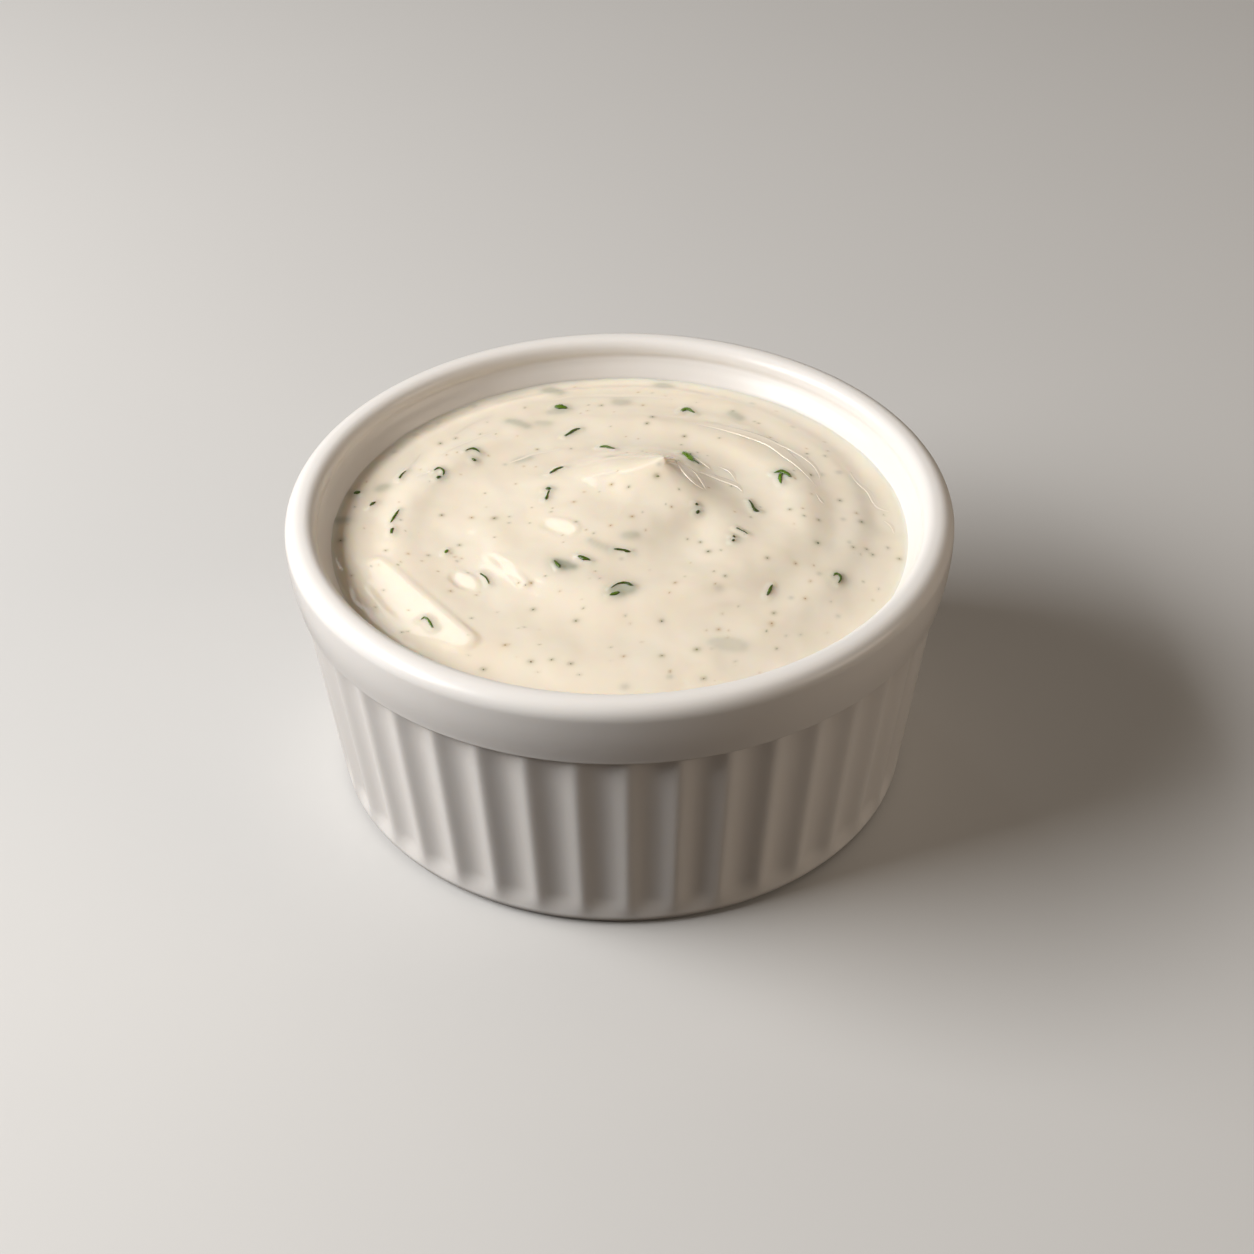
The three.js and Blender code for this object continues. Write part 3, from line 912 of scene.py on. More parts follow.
@dataclass(frozen=True)
class Dressing:
    """The filling: its stirred surface, its body down to the bowl, and the veils over what lies in it."""

    level: float = 35.4 * MM
    dome: float = 0.85 * MM
    calm_radius: float = 37 * MM
    calm_power: float = 24
    edge_radius: float = 39.1 * MM
    contact_radius: float = 38.85 * MM
    meniscus: float = 0.35 * MM
    meniscus_reach: float = 0.7 * MM
    into_wall: float = 0.1 * MM
    mound: Mound = Mound()
    crest: Crest = Crest()
    # The first four rings and the mound were fitted to the photo's shading by another program, then
    # rounded and in part changed.
    rings: tuple[Ring, ...] = (
        Ring(14.0, 3.4, -117, 1.9, 168, 0.48, 4.2, 5.0, 0.8, 30),
        Ring(20.6, 6.0, 45, 0.9, 57, 0.52, 4.4, 4.2, 1.0, -35),
        Ring(29.0, 4.5, -119, 1.4, -96, 0.18, 2.2, 3.2, 1.0, 98),
        Ring(33.1, 3.25, 130, 1.4, 23, 0.42, 2.7, 2.1, 1.0, 95),
        Ring(29.5, 0, 0, 0, 0, 0.24, 4.0, 4.4, 1.0, 213),
    )
    # Another program worked out the slopes at which these places throw the window's light back.
    presses: tuple[Press, ...] = (
        Press(
            ((-32.2, -8.2, 1.2), (-28.6, -14.6, 3.0), (-25.0, -19.6, 3.2), (-20.2, -24.6, 1.6)),
            (0.105, 0.070), 1.3,
        ),
        Press(((-21.0, -11.0, 0.8), (-20.1, -12.0, 1.3), (-19.3, -12.9, 0.6)), (0.131, 0.077), 0.9),
        Press(((-16.5, -7.0, 0.2), (-14.4, -10.2, 0.5), (-12.3, -13.5, 0.2)), (0.150, 0.079), 0.6),
        Press(((-9.0, -0.8, 0.8), (-7.8, -1.6, 1.4), (-6.6, -2.4, 0.8)), (0.175, 0.092), 1.0),
    )
    peak: Peak = Peak()
    folds: tuple[Fold, ...] = ()
    blades: tuple[Blade, ...] = ()
    blade_rise: float = 0.16 * MM
    blade_margin: float = 0.5
    around: int = 512
    rows: int = 176

    def height(self, x: np.ndarray, y: np.ndarray) -> np.ndarray:
        """Height of the stirred surface, without the peak.

        Args:
            x: Plan places in metres.
            y: Plan places in metres.

        Returns:
            Heights in metres.
        """
        out = np.hypot(x, y) / self.calm_radius
        relief = self.dome * (1 - np.clip(out, 0, 1) ** 2) + self.mound.rise(x, y) + self.crest.rise(x, y)
        for ring in self.rings:
            relief = relief + ring.rise(x, y)
        z = self.level + relief / (1 + out**self.calm_power) + self._unevenness(x, y)
        wall = np.clip(1 - (self.contact_radius - np.hypot(x, y)) / self.meniscus_reach, 0, 1.2)
        return z + self.meniscus * wall**2

    @staticmethod
    def _unevenness(x: np.ndarray, y: np.ndarray) -> np.ndarray:
        """Slight hand-stirred unevenness, from a few long waves with seeded directions."""
        rng = np.random.default_rng(11)
        total = np.zeros(np.shape(x))
        for wavelength, size in ((11, 0.03), (7, 0.02), (4.5, 0.011), (3, 0.005)):
            turn, phase = rng.uniform(0, 2 * np.pi, 2)
            across = (x * math.cos(turn) + y * math.sin(turn)) * 2 * np.pi / (wavelength * MM)
            bend = np.sin((y * math.cos(turn) - x * math.sin(turn)) * 2 * np.pi / (1.7 * wavelength * MM))
            total = total + size * MM * np.sin(across + phase + 1.3 * bend)
        return total

    def bumps(self, x: np.ndarray, y: np.ndarray) -> np.ndarray:
        """Small rises where the surface passes over or clings to the herbs."""
        total = np.zeros(np.shape(x))
        for blade in self.blades:
            rise = self.blade_rise * (0.3 if blade.sunk else 1)
            total = np.maximum(total, rise * np.exp(-((blade.beyond(x, y) / self.blade_margin) ** 2)))
        return total

    def surface(self, x: np.ndarray, y: np.ndarray) -> np.ndarray:
        """Points of the finished surface for plan places, the peak drawn up.

        Args:
            x: Plan places in metres.
            y: Plan places in metres.

        Returns:
            Points with a last axis of 3.
        """
        z = self.height(x, y)
        for press in self.presses:
            z = press.smooth(x, y, z, self.height)
        z = z + self.bumps(x, y)
        pull = self.peak.pull(x, y)
        base = self.height(np.array(self.peak.x - self.peak.lean), np.array(self.peak.y))
        drawn = z + pull * (self.peak.height - base)
        return np.stack([x + self.peak.lean * pull**2, y + 0 * x, drawn], axis=-1)

    def _plan(self) -> tuple[np.ndarray, np.ndarray]:
        """Plan grid from the peak's foot to the wall, its rings sliding to the middle of the dish."""
        share = (np.linspace(0, 1, self.rows + 1)[1:, None]) ** 1.12
        angle = np.linspace(0, 2 * np.pi, self.around, endpoint=False)[None, :]
        slide = (1 - share) ** 2
        x = (self.peak.x - self.peak.lean) * slide + self.edge_radius * share * np.cos(angle)
        y = self.peak.y * slide + self.edge_radius * share * np.sin(angle)
        return x, y

    def _body(self, bowl: Ramekin, angle: np.ndarray) -> np.ndarray:
        """Rings of the filling's hidden body, down the wall and over the bowl's floor."""
        corner = bowl.inner_bottom_radius - bowl.inner_corner_round
        middle = (corner, bowl.floor_thickness + bowl.inner_corner_round)
        rows = [(bowl.inner_radius(z) + self.into_wall, z) for z in np.array([34.8, 26, 17]) * MM]
        rows += arc(middle, bowl.inner_corner_round + self.into_wall, 0, -90, 4)
        rows += [(0.5 * corner, bowl.floor_thickness - self.into_wall)]
        across, along = np.cos(angle), np.sin(angle)
        return np.stack([np.stack([r * across, r * along, z + 0 * angle], axis=-1) for r, z in rows])

    def build(self, bowl: Ramekin, grains: list[Grain]) -> bpy.types.Object:
        """Makes the dressing piece, with the tinted places marked.

        Args:
            bowl: The dish that it fills.
            grains: The small specks, which tint the dressing round them.

        Returns:
            The piece.
        """
        x, y = self._plan()
        top = self.surface(x, y)
        body = self._body(bowl, np.linspace(0, 2 * np.pi, self.around, endpoint=False))
        tip = self.surface(np.array(self.peak.x - self.peak.lean), np.array(self.peak.y))
        lofts = Lofts()
        lofts.add(np.concatenate([top, body]), tip, np.array([0, 0, bowl.floor_thickness - self.into_wall]))
        piece = lofts.piece("dressing_swirl")
        self._mark(piece, "leaf_veil", self.blades, top)
        veils = {
            "grey_veil": (Speck.SUNK,),
            "olive_veil": (Speck.HERB, Speck.PEPPER),
            "tan_veil": (Speck.ONION,),
        }
        for name, kinds in veils.items():
            self._mark(piece, name, [grain for grain in grains if grain.kind in kinds], top)
        return piece

    def build_folds(self) -> bpy.types.Object:
        """Makes the thin folded sheets and stir lines as one piece."""
        lofts = Lofts()
        for fold in self.folds:
            fold.add_sheet(lofts, self)
        return lofts.piece("dressing_folds")

    @staticmethod
    def _mark(piece: bpy.types.Object, name: str, things: Sequence[Blade | Grain], top: np.ndarray) -> None:
        """Marks how much the dressing is tinted near the things in it.

        Args:
            piece: The dressing.
            name: Name of the attribute.
            things: What tints it.
            top: Points of its surface.
        """
        clear = np.ones(top.shape[:2])
        for thing in things:
            clear *= 1 - thing.tint(top[..., 0], top[..., 1])
        values = np.zeros(len(piece.data.vertices))
        values[: clear.size] = 1 - clear.ravel()
        mark(piece, name, values)

    def dress(self, piece: bpy.types.Object, effects: Effects) -> None:
        """Gives the dressing its cream."""
        piece.data.materials.append(CreamFinish().material(effects))


# ---------------------------------------------------------- herbs and spices


@dataclass(frozen=True)
class ChoppedHerbs:
    """The herb flakes that show in the surface."""

    thickness: float = 0.13 * MM
    cup: float = 0.08 * MM
    proud: float = 0.09 * MM
    stations: int = 13

    def build(self, dressing: Dressing) -> bpy.types.Object:
        """Makes the flakes as one piece, with their bright middles and covered ends marked.

        Args:
            dressing: The surface with its blades.

        Returns:
            The piece.
        """
        rng = np.random.default_rng(5)
        lofts = Lofts()
        hearts, films = [], []
        for blade in dressing.blades:
            if not blade.sunk:
                rings, heart, film = self._strip(blade, dressing, rng)
                lofts.add(rings, rings[0].mean(axis=0), rings[-1].mean(axis=0))
                hearts.append(np.append(heart.ravel(), [0, 0]))
                films.append(np.append(film.ravel(), [1, 1]))
        piece = lofts.piece("herb_flakes")
        mark(piece, "heart", np.concatenate(hearts))
        mark(piece, "film", np.concatenate(films))
        return piece

    def _strip(self, blade: Blade, dressing: Dressing, rng: np.random.Generator) -> tuple:
        """Rings of one strip, with its two marks.

        Args:
            blade: The strip in plan.
            dressing: The surface that it lies in.
            rng: Source of the uneven edges.

        Returns:
            The rings, how bright each point is, and how far it is covered.
        """
        places, width, side = blade.stations(self.stations)
        end = np.abs(np.linspace(-1, 1, self.stations))[:, None]
        across = np.array([-1, -0.65, -0.2, 0.2, 0.65, 1, 0.6, 0, -0.6])
        ragged = 1 + 0.14 * rng.standard_normal((self.stations, 2))
        wide = 0.5 * width[:, None] * np.where(across < 0, ragged[:, :1], ragged[:, 1:])
        plan = (places[:, None, :] + side[:, None, :] * (across * wide)[..., None]) * MM
        rings = dressing.surface(plan[..., 0], plan[..., 1])
        face = np.array([0, 1, 1, 1, 1, 0, -1, -1, -1]) * self.thickness / 2
        tilt = rng.uniform(-0.5, 0.5) * np.linspace(-1, 1, self.stations)[:, None]
        thin = np.clip(width[:, None] / 0.5, 0.3, 1)
        rings[..., 2] += self.proud * (1 + tilt - 0.8 * end**3) + (face + self.cup * (0.4 - across**2)) * thin
        heart = blade.tone * (1 - 0.5 * across**2) * (1 - 0.3 * end**3) * rng.uniform(0.85, 1.15)
        film = np.clip((end - 0.8) / 0.2, 0, 1) ** 2 * 0.4 + 0 * across
        return rings, heart, film

    def dress(self, piece: bpy.types.Object, effects: Effects) -> None:
        """Gives the flakes their leaf finish."""
        piece.data.materials.append(LeafFinish().material(effects))


@dataclass(frozen=True)
class Seasoning:
    """The small specks: crumbs of herb, pepper and ground onion, some listed and the finest scattered."""

    fine_count: int = 170
    fine_reach: float = 37.0
    fine_sizes: tuple[float, float] = (0.15, 0.32)
    flatness: float = 0.7
    sunk: float = 0.62

    def grains(self) -> list[Grain]:
        """Every speck, the finest drawn by a seeded rule."""
        rng = np.random.default_rng(23)
        found = [Grain(*spot, kind) for kind, spots in SPECKS.items() for spot in spots]
        kinds = (Speck.HERB, Speck.ONION, Speck.PEPPER, Speck.ONION)
        for i in range(self.fine_count):
            reach = self.fine_reach * math.sqrt(rng.uniform())
            turn = rng.uniform(0, 2 * math.pi)
            x, y = reach * math.cos(turn), reach * math.sin(turn)
            found.append(Grain(x, y, rng.uniform(*self.fine_sizes), kinds[i % len(kinds)]))
        return found

    def build(self, kind: Speck, name: str, grains: list[Grain], dressing: Dressing) -> bpy.types.Object:
        """Makes all grains of a kind as one piece.

        Args:
            kind: Which grains.
            name: Name of the piece.
            grains: All grains.
            dressing: The surface that they lie in.

        Returns:
            The piece.
        """
        rng = np.random.default_rng(31)
        lofts = Lofts()
        for grain in grains:
            if grain.kind is kind:
                self._add(lofts, grain, dressing, rng)
        return lofts.piece(name)

    def _add(self, lofts: Lofts, grain: Grain, dressing: Dressing, rng: np.random.Generator) -> None:
        """Adds one uneven rounded grain, most of it under the surface."""
        half = grain.size / 2 * MM
        stretch, turn = rng.uniform(0.65, 1.0), rng.uniform(0, math.pi)
        level = np.radians([-50, -15, 20, 55])[:, None]
        around = np.linspace(0, 2 * math.pi, 7, endpoint=False)
        uneven = rng.uniform(0.75, 1.2, (4, 7)) * half
        along = np.cos(level) * np.cos(around) * uneven
        across = np.cos(level) * np.sin(around) * uneven * stretch
        middle = dressing.surface(np.array(grain.x * MM), np.array(grain.y * MM))
        middle[2] -= self.sunk * half
        x = along * math.cos(turn) - across * math.sin(turn)
        y = along * math.sin(turn) + across * math.cos(turn)
        rings = middle + np.stack([x, y, np.sin(level) * self.flatness * half + 0 * x], axis=-1)
        pole = np.array([0, 0, self.flatness * half])
        lofts.add(rings, middle - pole, middle + pole)


@dataclass(frozen=True)
class Studio:
    """Plain pale floor and soft studio light."""

    side: float = 4.0

    def build(self, effects: Effects) -> None:
        """Makes the floor, the lights and the world."""
        mesh = bpy.data.meshes.new("floor")
        half = self.side / 2
        corners = [(-half, -half, 0), (half, -half, 0), (half, half, 0), (-half, half, 0)]
        mesh.from_pydata(corners, [], [[0, 1, 2, 3]])
        floor = bpy.data.objects.new("floor", mesh)
        bpy.context.scene.collection.objects.link(floor)
        floor.data.materials.append(StudioFinish().material(effects))
        white, warm = (1.0, 1.0, 1.0), (1.0, 0.87, 0.73)
        self.lamp("key", -85, 38, 0.65, (0.52, 0.29), 1.58, white)
        self.lamp("window", -160.5, 43.5, 1.0, (0.075, 0.17), 0.011, white)
        self.lamp("top", 120, 60, 1.2, (0.6, 0.6), 0.09, warm)
        self.lamp("fill", 76, 18, 1.2, (0.7, 0.3), 0.26, warm)
        world = bpy.data.worlds.new("studio")
        bpy.context.scene.world = world
        world.use_nodes = True
        background = world.node_tree.nodes["Background"]
        background.inputs["Color"].default_value = rgba(1.0, 0.86, 0.72)
        background.inputs["Strength"].default_value = 0.03
        bpy.context.scene.view_settings.view_transform = "Standard"

    @staticmethod
    def lamp(
        name: str, azimuth: float, elevation: float, distance: float, size: tuple, strength: float, tint: tuple
    ) -> None:
        """Adds a rectangular lamp that faces the dish.

        Args:
            name: Name of the lamp.
            azimuth: Degrees from -Y, towards +X.
            elevation: Degrees above the floor.
            distance: Distance from the dish.
            size: Width and height.
            strength: Brightness that it gives a white sheet facing it, 1 being full white.
            tint: Colour of its light.
        """
        data = bpy.data.lights.new(name, "AREA")
        data.shape = "RECTANGLE"
        data.size, data.size_y = size
        data.energy = strength * (math.pi * distance) ** 2
        data.color = tint
        lamp = bpy.data.objects.new(name, data)
        bpy.context.scene.collection.objects.link(lamp)
        a, e = math.radians(azimuth), math.radians(elevation)
        away = Vector((math.sin(a) * math.cos(e), -math.cos(a) * math.cos(e), math.sin(e)))
        lamp.location = away * distance
        lamp.rotation_euler = away.to_track_quat("Z", "Y").to_euler()


@dataclass(frozen=True)
class PhotoCamera:
    """The camera at the photo's angle, aimed so that it needs no shift."""

    elevation: float = 36.99
    distance: float = 341.96 * MM
    target_height: float = 22 * MM
    focal_pixels: float = 2484.4
    photo_side: float = 1254
    sensor: float = 36.0
    roll: float = -0.631
    centre_right: float = 6.37
    centre_down: float = 16.85

    def build(self) -> None:
        """Makes the camera and gives it to the scene."""
        e = math.radians(self.elevation)
        back = Vector((0, -math.cos(e), math.sin(e)))
        right = Vector((1, 0, 0))
        up = back.cross(right)
        r = math.radians(self.roll)
        u = math.cos(r) * self.centre_right + math.sin(r) * self.centre_down
        w = -math.sin(r) * self.centre_right + math.cos(r) * self.centre_down
        look = (-back * self.focal_pixels + right * u - up * w).normalized()
        data = bpy.data.cameras.new("photo_camera")
        data.sensor_width = self.sensor
        data.lens = self.focal_pixels / self.photo_side * self.sensor
        data.clip_start, data.clip_end = 0.01, 20
        camera = bpy.data.objects.new("photo_camera", data)
        bpy.context.scene.collection.objects.link(camera)
        place = back * self.distance + Vector((0, 0, self.target_height))
        turn = look.to_track_quat("-Z", "Y").to_matrix().to_4x4()
        camera.matrix_world = Matrix.Translation(place) @ turn @ Matrix.Rotation(r, 4, "Z")
        bpy.context.scene.camera = camera


# The numbers in these three lists were made by other programs. Places were read from the photo, and the
# programs turned them into places on the dressing's surface, with the widths of the blades and the sizes
# of the specks. Only the heights, the reach of the folds, the tones and the veils were chosen one by one.
BLADES = (
    Blade(((-9.1, 30, 0.5), (-8.4, 29.9, 1.2), (-7.9, 29.8, 1.06), (-7.3, 29.4, 0.39)), 0.6, 0.5),
    Blade(((-9.6, 28.8, 0.44), (-8.8, 28.9, 0.74), (-8, 29.1, 0.6)), 0.3, 0.5, True),
    Blade(
        ((9.1, 28.2, 0.53), (9.6, 28.9, 0.97), (10, 28.9, 0.87), (10.5, 28.3, 0.56), (11, 27.8, 0.23)),
        0.65, 0.45,
    ),
    Blade(
        ((-7.6, 22.1, 0.26), (-7, 22.6, 0.41), (-6.5, 23.2, 0.49), (-5.9, 23.7, 0.42), (-5.4, 23.9, 0.22)),
        0.3, 0.35,
    ),
    Blade(
        (
            (-21.4, 18.3, 0.15), (-20.7, 18.7, 0.3), (-20.2, 18.7, 0.54),
            (-19.8, 18.4, 0.31), (-19.4, 18, 0.14),
        ),
        0.5, 0.6,
    ),
    Blade(((-20.4, 16.4, 0.29), (-20.1, 16.1, 0.47), (-20, 15.9, 0.26)), 0.4, 0.5),
    Blade(
        ((-25.6, 13.5, 0.17), (-25, 14, 0.36), (-24.4, 13.6, 0.35), (-24.2, 12.9, 0.25), (-24.3, 12.3, 0.17)),
        0.5, 0.55,
    ),
    Blade(((-25.1, 11.5, 0.36), (-24.9, 11.7, 0.45), (-24.6, 12.1, 0.25)), 0.4, 0.4),
    Blade(
        ((-2.7, 18.5, 0.33), (-2.2, 18.6, 0.68), (-1.7, 18.5, 0.63), (-1.1, 17.9, 0.43), (-0.5, 17.6, 0.25)),
        0.5, 0.3,
    ),
    Blade(
        ((8.9, 16.6, 0.74), (9.3, 16.4, 1.46), (9.8, 15.6, 1.1), (10.1, 14.5, 0.86), (10.3, 14, 0.31)),
        1, 0.5,
    ),
    Blade(((10.4, 14.5, 0.49), (10.8, 13.9, 0.37), (11.1, 13.5, 0.2)), 0.1, 0.5),
    Blade(
        ((-9.5, 11.3, 0.28), (-9.1, 11.8, 0.49), (-8.6, 12.4, 0.56), (-8, 12.8, 0.58), (-7.6, 12.9, 0.27)),
        0.3, 0.25,
    ),
    Blade(((-10, 7.2, 0.28), (-9.7, 7.3, 0.59), (-9.3, 7.1, 0.34)), 0.3, 0.4),
    Blade(
        ((-9.5, 6.9, 0.21), (-9.7, 6.1, 0.22), (-9.8, 5.5, 0.29), (-9.9, 5, 0.44), (-10, 4.7, 0.21)),
        0.45, 0.45,
    ),
    Blade(((10.3, 2.7, 0.23), (10.4, 2.6, 0.4), (10.6, 2.5, 0.2)), 0.1, 0.5),
    Blade(((10.7, 1.5, 0.26), (10.5, 1.2, 0.41), (10.3, 1, 0.24)), 0.15, 0.7),
    Blade(
        ((21.3, 11.3, 0.18), (21.9, 11.5, 0.53), (22.4, 11.5, 0.9), (23.1, 10.9, 0.67), (23.5, 10, 0.28)),
        0.6, 0.5,
    ),
    Blade(((22.3, 11, 0.52), (22.1, 10, 0.55), (22.1, 9.1, 0.3), (22.2, 8.7, 0.14)), 0.9, 0.5),
    Blade(
        ((17.6, 5.2, 0.16), (17.9, 4.3, 0.28), (18.2, 3, 0.44), (18.5, 2.5, 0.56), (18.9, 2.4, 0.26)),
        0.15, 0.6,
    ),
    Blade(((-30.8, 1.1, 0.18), (-30.5, 1.9, 0.37), (-30.2, 2.9, 0.37), (-29.8, 4, 0.14)), 0.75, 0.45),
    Blade(((-30.5, -1.5, 0.26), (-30.5, -0.7, 0.42), (-30.3, -0.3, 0.2)), 0.5, 0.45),
    Blade(((-8.6, -9.1, 0.22), (-8.4, -9.6, 0.38), (-8.1, -10.2, 0.51), (-7.9, -10.8, 0.37)), 0.5, 0.5),
    Blade(((-8.1, -9.5, 0.54), (-7.5, -9.9, 1.04), (-6.7, -10.2, 0.48), (-6.2, -10.3, 0.15)), 0.1, 0.9, True),
    Blade(((-5.5, -8.1, 0.23), (-5, -8.5, 0.69), (-4.5, -8.8, 0.66), (-3.9, -9.1, 0.2)), 0.35, 0.35),
    Blade(
        (
            (-18.3, -10.6, 0.21), (-17.9, -11.1, 0.26), (-17.5, -11.7, 0.23),
            (-17.2, -12.5, 0.2), (-17.1, -13, 0.12),
        ),
        0.45, 0.35,
    ),
    Blade(
        (
            (-1.2, -15.6, 0.09), (-0.4, -14.8, 0.23), (0.5, -14.5, 0.49),
            (1.2, -14.9, 0.53), (1.6, -15.3, 0.24),
        ),
        0.25, 0.4,
    ),
    Blade(((-1.4, -17.1, 0.17), (-0.9, -16.9, 0.54), (-0.4, -16.7, 0.59), (-0.1, -16.5, 0.26)), 0.55, 0.5),
    Blade(((-0.6, -16, 0.88), (0.2, -15.9, 1.37), (1, -15.9, 0.93)), 0.1, 0.8, True),
    Blade(
        (
            (-25.5, -20.3, 0.16), (-25.1, -20, 0.33), (-24.6, -20.5, 0.3),
            (-24.2, -21.4, 0.3), (-23.9, -22.1, 0.22),
        ),
        0.6, 0.45,
    ),
    Blade(((18.9, -16.4, 0.19), (19.2, -15.7, 0.37), (19.5, -14.8, 0.33), (19.7, -14.3, 0.13)), 0.4, 0.3),
    Blade(
        (
            (27.8, -12, 0.19), (28.2, -11.5, 0.46), (28.7, -11.9, 0.41),
            (28.7, -12.7, 0.28), (28.3, -13.5, 0.16),
        ),
        0.45, 0.6,
    ),
    Blade(((15.6, -2.1, 0.31), (16.1, -2.6, 0.2), (16.7, -3.1, 0.17), (17, -3.4, 0.12)), 0.15, 0.3),
    Blade(
        ((-0.8, -6.9, 0.18), (-0.1, -7, 0.33), (0.5, -7.1, 0.34), (1, -7.3, 0.45), (1.4, -7.3, 0.18)),
        0.2, 0.35,
    ),
    Blade(((-3.9, -5.2, 0.17), (-2.6, -6.2, 0.26), (-1.3, -6.8, 0.28)), 0.2, 0.4, True),
    Blade(((15, -4, 0.27), (15.1, -4.1, 0.36), (15.3, -4.4, 0.17)), 0.1, 0.4),
    Blade(((15.2, -4.8, 0.19), (15, -5.1, 0.37), (14.9, -5.3, 0.2)), 0.1, 0.4),
    Blade(((-15.5, 26.4, 0.26), (-14.6, 26, 0.59), (-13.9, 25.4, 0.44), (-13, 24.6, 0.22)), 0.2, 0.6, True),
    Blade(((16.3, 27.7, 0.23), (16.8, 27.1, 0.43), (17.3, 26.5, 0.29)), 0.2, 0.6, True),
    Blade(((11.7, -25.7, 0.63), (12.7, -25.9, 1.58), (14, -26.1, 1.68), (15, -26.4, 0.9)), 0.2, 0.35, True),
    Blade(((-33.9, 5.6, 0.19), (-33.6, 6.1, 0.43), (-33.2, 6.5, 0.24)), 0.3, 0.3),
    Blade(((-36.4, 9.2, 0.28), (-36, 9.3, 0.81), (-35.5, 9.3, 0.41)), 0.3, 0.4),
    Blade(((-32.9, 9.8, 0.22), (-32.6, 10.1, 0.51), (-32.2, 10.4, 0.25)), 0.3, 0.6, True),
    Blade(((-30.3, 12, 0.34), (-30.1, 12.8, 0.2), (-29.7, 13.6, 0.14), (-29.5, 13.9, 0.12)), 0.4, 0.4),
    Blade(((-37.9, 3.1, 0.37), (-37.5, 3, 0.55), (-37.1, 2.9, 0.32)), 0.3, 0.6, True),
    Blade(((-22.8, -5.2, 0.25), (-23, -5.6, 0.44), (-23.1, -5.9, 0.26)), 0.8, 0.3),
    Blade(((-10.4, 35.4, 0.44), (-9.8, 35.1, 1.23), (-9, 34.3, 0.83), (-8.3, 33.7, 0.29)), 0.2, 0.75, True),
    Blade(((6.1, 36.3, 0.56), (6.5, 36.1, 1.26), (7.4, 36, 0.41)), 0.2, 0.6, True),
    Blade(((-0.2, 31.3, 0.37), (0.5, 31.2, 0.56), (1.2, 31.2, 0.25)), 0.2, 0.5, True),
    Blade(((0.8, -4.3, 0.28), (1.4, -4.3, 0.49), (2, -4.2, 0.22)), 0.2, 0.5, True),
    Blade(((-14.1, 16.1, 0.21), (-13.4, 16.4, 0.43), (-12.6, 16.7, 0.21)), 0.2, 0.5, True),
    Blade(((-11.2, 25.5, 0.42), (-10.6, 25.4, 0.61), (-10, 25.3, 0.33)), 0.2, 0.35, True),
)

SPECKS = {
    Speck.HERB: (
        (26.2, -5, 0.7), (11.7, -7, 0.7), (10.7, -4.6, 0.5), (-16.8, 1.5, 0.8), (-37.3, -1.7, 0.7),
        (5.1, -28.2, 0.6), (9.5, -27.1, 0.8), (5.2, -21.4, 0.6), (-11.2, -18.4, 0.6), (-5.7, -20.9, 0.6),
        (-6.3, -29.7, 0.6), (-17.2, -30, 0.6), (19.6, -19.7, 0.6), (10.2, -32.4, 0.6), (4.1, 24.7, 0.6),
        (9.3, 21.5, 0.6), (26.4, 11.3, 0.6), (30, 5.4, 0.6), (32.5, 0.4, 0.7), (19.3, -9.2, 0.6),
        (5.1, 7, 0.8), (36.9, -7.3, 0.6), (33.4, -6.6, 0.5), (-25.1, 20.9, 0.6), (-2.4, 30.5, 0.5),
    ),
    Speck.PEPPER: (
        (-24, 3.1, 0.6), (-8.7, -28.9, 0.5), (-11.3, -29.1, 0.6), (13.6, -13.4, 0.5), (19.6, -26.6, 0.4),
        (4.9, 26.3, 0.6), (17.8, 20.8, 0.4), (-23, 22.2, 0.5), (-11.4, 19, 0.4), (24.8, 0.6, 0.4),
        (26.7, 0, 0.5), (23, 2.4, 0.5), (30.9, -5.4, 0.5), (32.7, -5.5, 0.5), (35.6, -4.9, 0.4),
        (26.3, 17, 0.4), (28.8, 16.3, 0.4), (1.3, 5.6, 0.4), (-5.8, -1.1, 0.4), (-21.3, -4, 0.5),
        (-25.3, -6.2, 0.4), (-31, -5.1, 0.4),
    ),
    Speck.ONION: (
        (-14.6, -25.8, 0.6), (19.2, -21.8, 0.6), (23.8, -16.7, 0.5), (12.4, -22.9, 0.6), (0.3, -28.3, 0.5),
        (7.1, -14.7, 0.5), (-11.6, -13.4, 0.6), (-22, -14.2, 0.5), (3.6, 30.4, 0.4), (32, 2.4, 0.5),
        (23, -9.7, 0.5), (24.7, -13.1, 0.4), (-1, 6.6, 0.5), (-6.1, 3.6, 0.5), (1.7, -0.3, 0.6),
        (7, 1.9, 0.4), (-1.2, -2.3, 0.4), (-19.9, 2.1, 0.6), (-28, -6, 0.4),
    ),
    Speck.SUNK: (
        (12.7, -15.6, 1.2), (0.4, -33.9, 1), (6, -32.1, 0.7), (19.4, 31.2, 0.6), (-28.9, 24, 0.7),
        (-31.5, 19.5, 0.7), (-25.7, 27.2, 0.7), (-20.8, 31.5, 0.7), (-15.8, 15.4, 0.5), (30.4, 12.2, 0.8),
        (27.9, 11.7, 0.8), (30.1, 0.9, 0.6), (30.5, -4.3, 0.5), (22, -16.5, 0.6), (24.8, 24, 0.5),
        (26, -11.5, 0.6), (27.8, -19.9, 0.6), (5.5, 8.9, 0.6), (0.2, -8.5, 0.5),
    ),
}

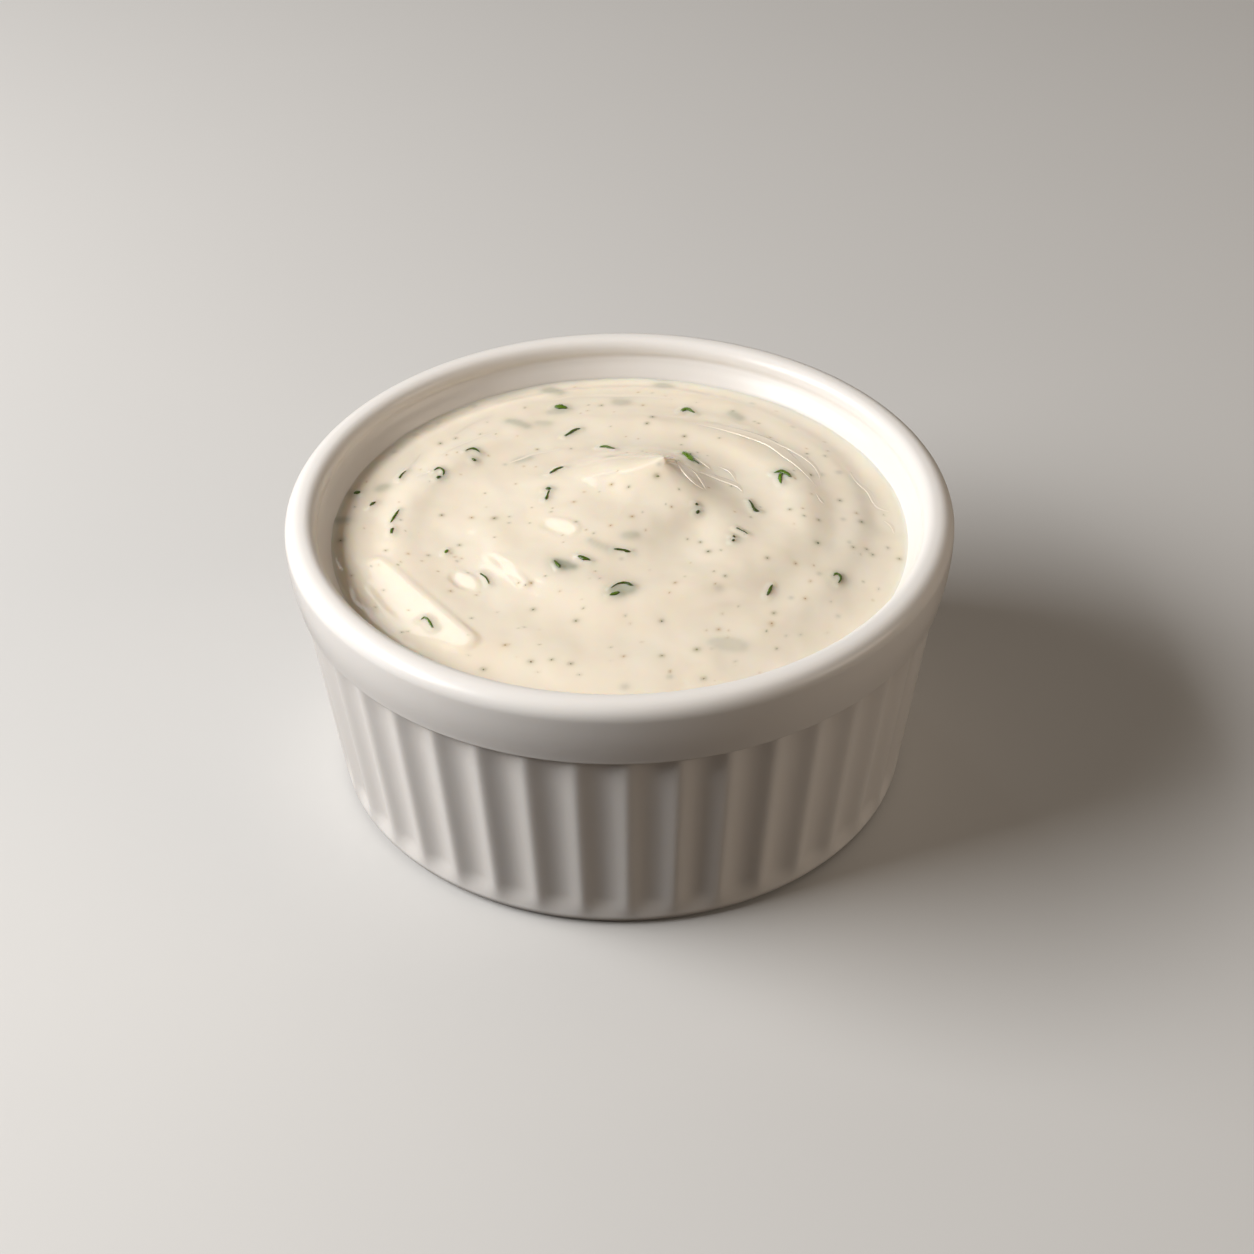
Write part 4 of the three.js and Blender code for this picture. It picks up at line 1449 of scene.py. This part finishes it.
FOLDS = (
    Fold(((7.4, 13.0), (8.5, 9.2), (10.1, 6.9), (11.8, 6.0)), 0.11, 1.0),
    Fold(((8.4, 12.3), (10.4, 10.2), (11.3, 7.7), (11.9, 6.0)), 0.09, 0.6),
    Fold(((10.4, 11.1), (12.0, 10.8), (14.2, 9.9), (16.0, 8.9), (17.0, 7.4)), 0.11, 1.2),
    Fold(((10.2, 16.0), (11.8, 13.9), (12.8, 12.6)), 0.06, 0.8),
    Fold(((13.6, 13.9), (15.2, 12.5), (16.1, 10.1)), 0.06, 0.8),
    Fold(
        (
            (10.5, 24.7), (13.0, 23.5), (15.5, 22.2), (18.0, 20.7),
            (20.8, 18.7), (23.0, 15.5), (24.9, 12.7), (27.4, 7.6),
        ),
        0.12, 2.4,
    ),
    Fold(((18.0, 22.7), (21.1, 20.3), (24.3, 17.5), (26.4, 14.8), (27.5, 11.9), (27.7, 7.7)), 0.06, 0.7),
    Fold(((26.8, 6.6), (27.2, 5.0), (27.8, 4.1)), 0.06, 0.6),
    Fold(((31.7, 13.4), (32.6, 10.0), (33.9, 8.0), (34.9, 4.7), (37.1, 3.4)), 0.07, 0.9),
    Fold(((35.5, 1.7), (36.4, 0.2), (36.8, -1.7)), 0.05, 0.6),
    Fold(((-27.4, 19.2), (-28.5, 17.1), (-29.8, 14.1), (-30.3, 11.7)), 0.04, 0.5),
    Fold(((-17.0, 28.6), (-21.3, 25.9), (-22.5, 24.4), (-23.5, 22.9)), 0.05, 0.6),
    Fold(((-16.1, 25.1), (-18.9, 23.1), (-21.7, 21.0), (-23.9, 19.1), (-25.8, 16.7)), 0.05, 0.6),
    Fold(((-25.8, 13.7), (-27.3, 12.9), (-28.1, 11.7)), 0.04, 0.4),
    Fold(((-4.8, 20.3), (-9.8, 18.5), (-12.0, 17.9), (-13.9, 16.6), (-16.1, 15.4)), 0.05, 0.6),
    Fold(((0.2, 9.0), (-1.7, 9.0), (-5.1, 8.7)), 0.03, 0.5),
    Fold(((10.5, 31.5), (6.4, 32.4), (2.7, 33.0), (-4.5, 33.0), (-9.2, 32.0), (-13.9, 30.8)), 0.04, 0.7),
)


def settle(piece: bpy.types.Object, node: str, slot: str) -> None:
    """Lets a piece ride on the object, hides the solid that it stands for, and reports it with its slot.

    Args:
        piece: The piece.
        node: The solid that it replaces.
        slot: The record's material slot.
    """
    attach(piece, "root")
    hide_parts(node)
    log.info("%s: %d vertices, slot %s", piece.name, len(piece.data.vertices), slot)


def main() -> None:
    """Builds the object, the studio and the camera, and reports each piece."""
    logging.basicConfig(level=logging.INFO, format="%(message)s")
    effects = Effects()
    bowl = Ramekin()
    porcelain = bowl.build()
    bowl.dress(porcelain, effects)
    settle(porcelain, "ramekin", "porcelain")

    seasoning = Seasoning()
    grains = seasoning.grains()
    dressing = Dressing(folds=FOLDS, blades=BLADES)
    cream = dressing.build(bowl, grains)
    dressing.dress(cream, effects)
    settle(cream, "dressing", "dressing")
    folds = dressing.build_folds()
    folds.data.materials.append(CreamFinish(name="folded_cream", soft=0.0).material(effects))
    settle(folds, "dressing", "dressing")

    herbs = ChoppedHerbs()
    flakes = herbs.build(dressing)
    herbs.dress(flakes, effects)
    settle(flakes, "dressing", "herb")
    crumb = GrainFinish("herb_crumb", rgba(0.06, 0.07, 0.028), rgba(0.22, 0.24, 0.10))
    pepper = GrainFinish("pepper", rgba(0.08, 0.055, 0.03), rgba(0.28, 0.20, 0.11))
    onion = GrainFinish("ground_onion", rgba(0.22, 0.10, 0.03), rgba(0.5, 0.32, 0.14))
    for kind, name, slot, finish in (
        (Speck.HERB, "herb_crumbs", "herb", crumb),
        (Speck.PEPPER, "pepper_grains", "spice", pepper),
        (Speck.ONION, "onion_grains", "spice", onion),
    ):
        piece = seasoning.build(kind, name, grains, dressing)
        piece.data.materials.append(finish.material(effects))
        settle(piece, "dressing", slot)

    Studio().build(effects)
    PhotoCamera().build()


if __name__ == "__main__":
    main()
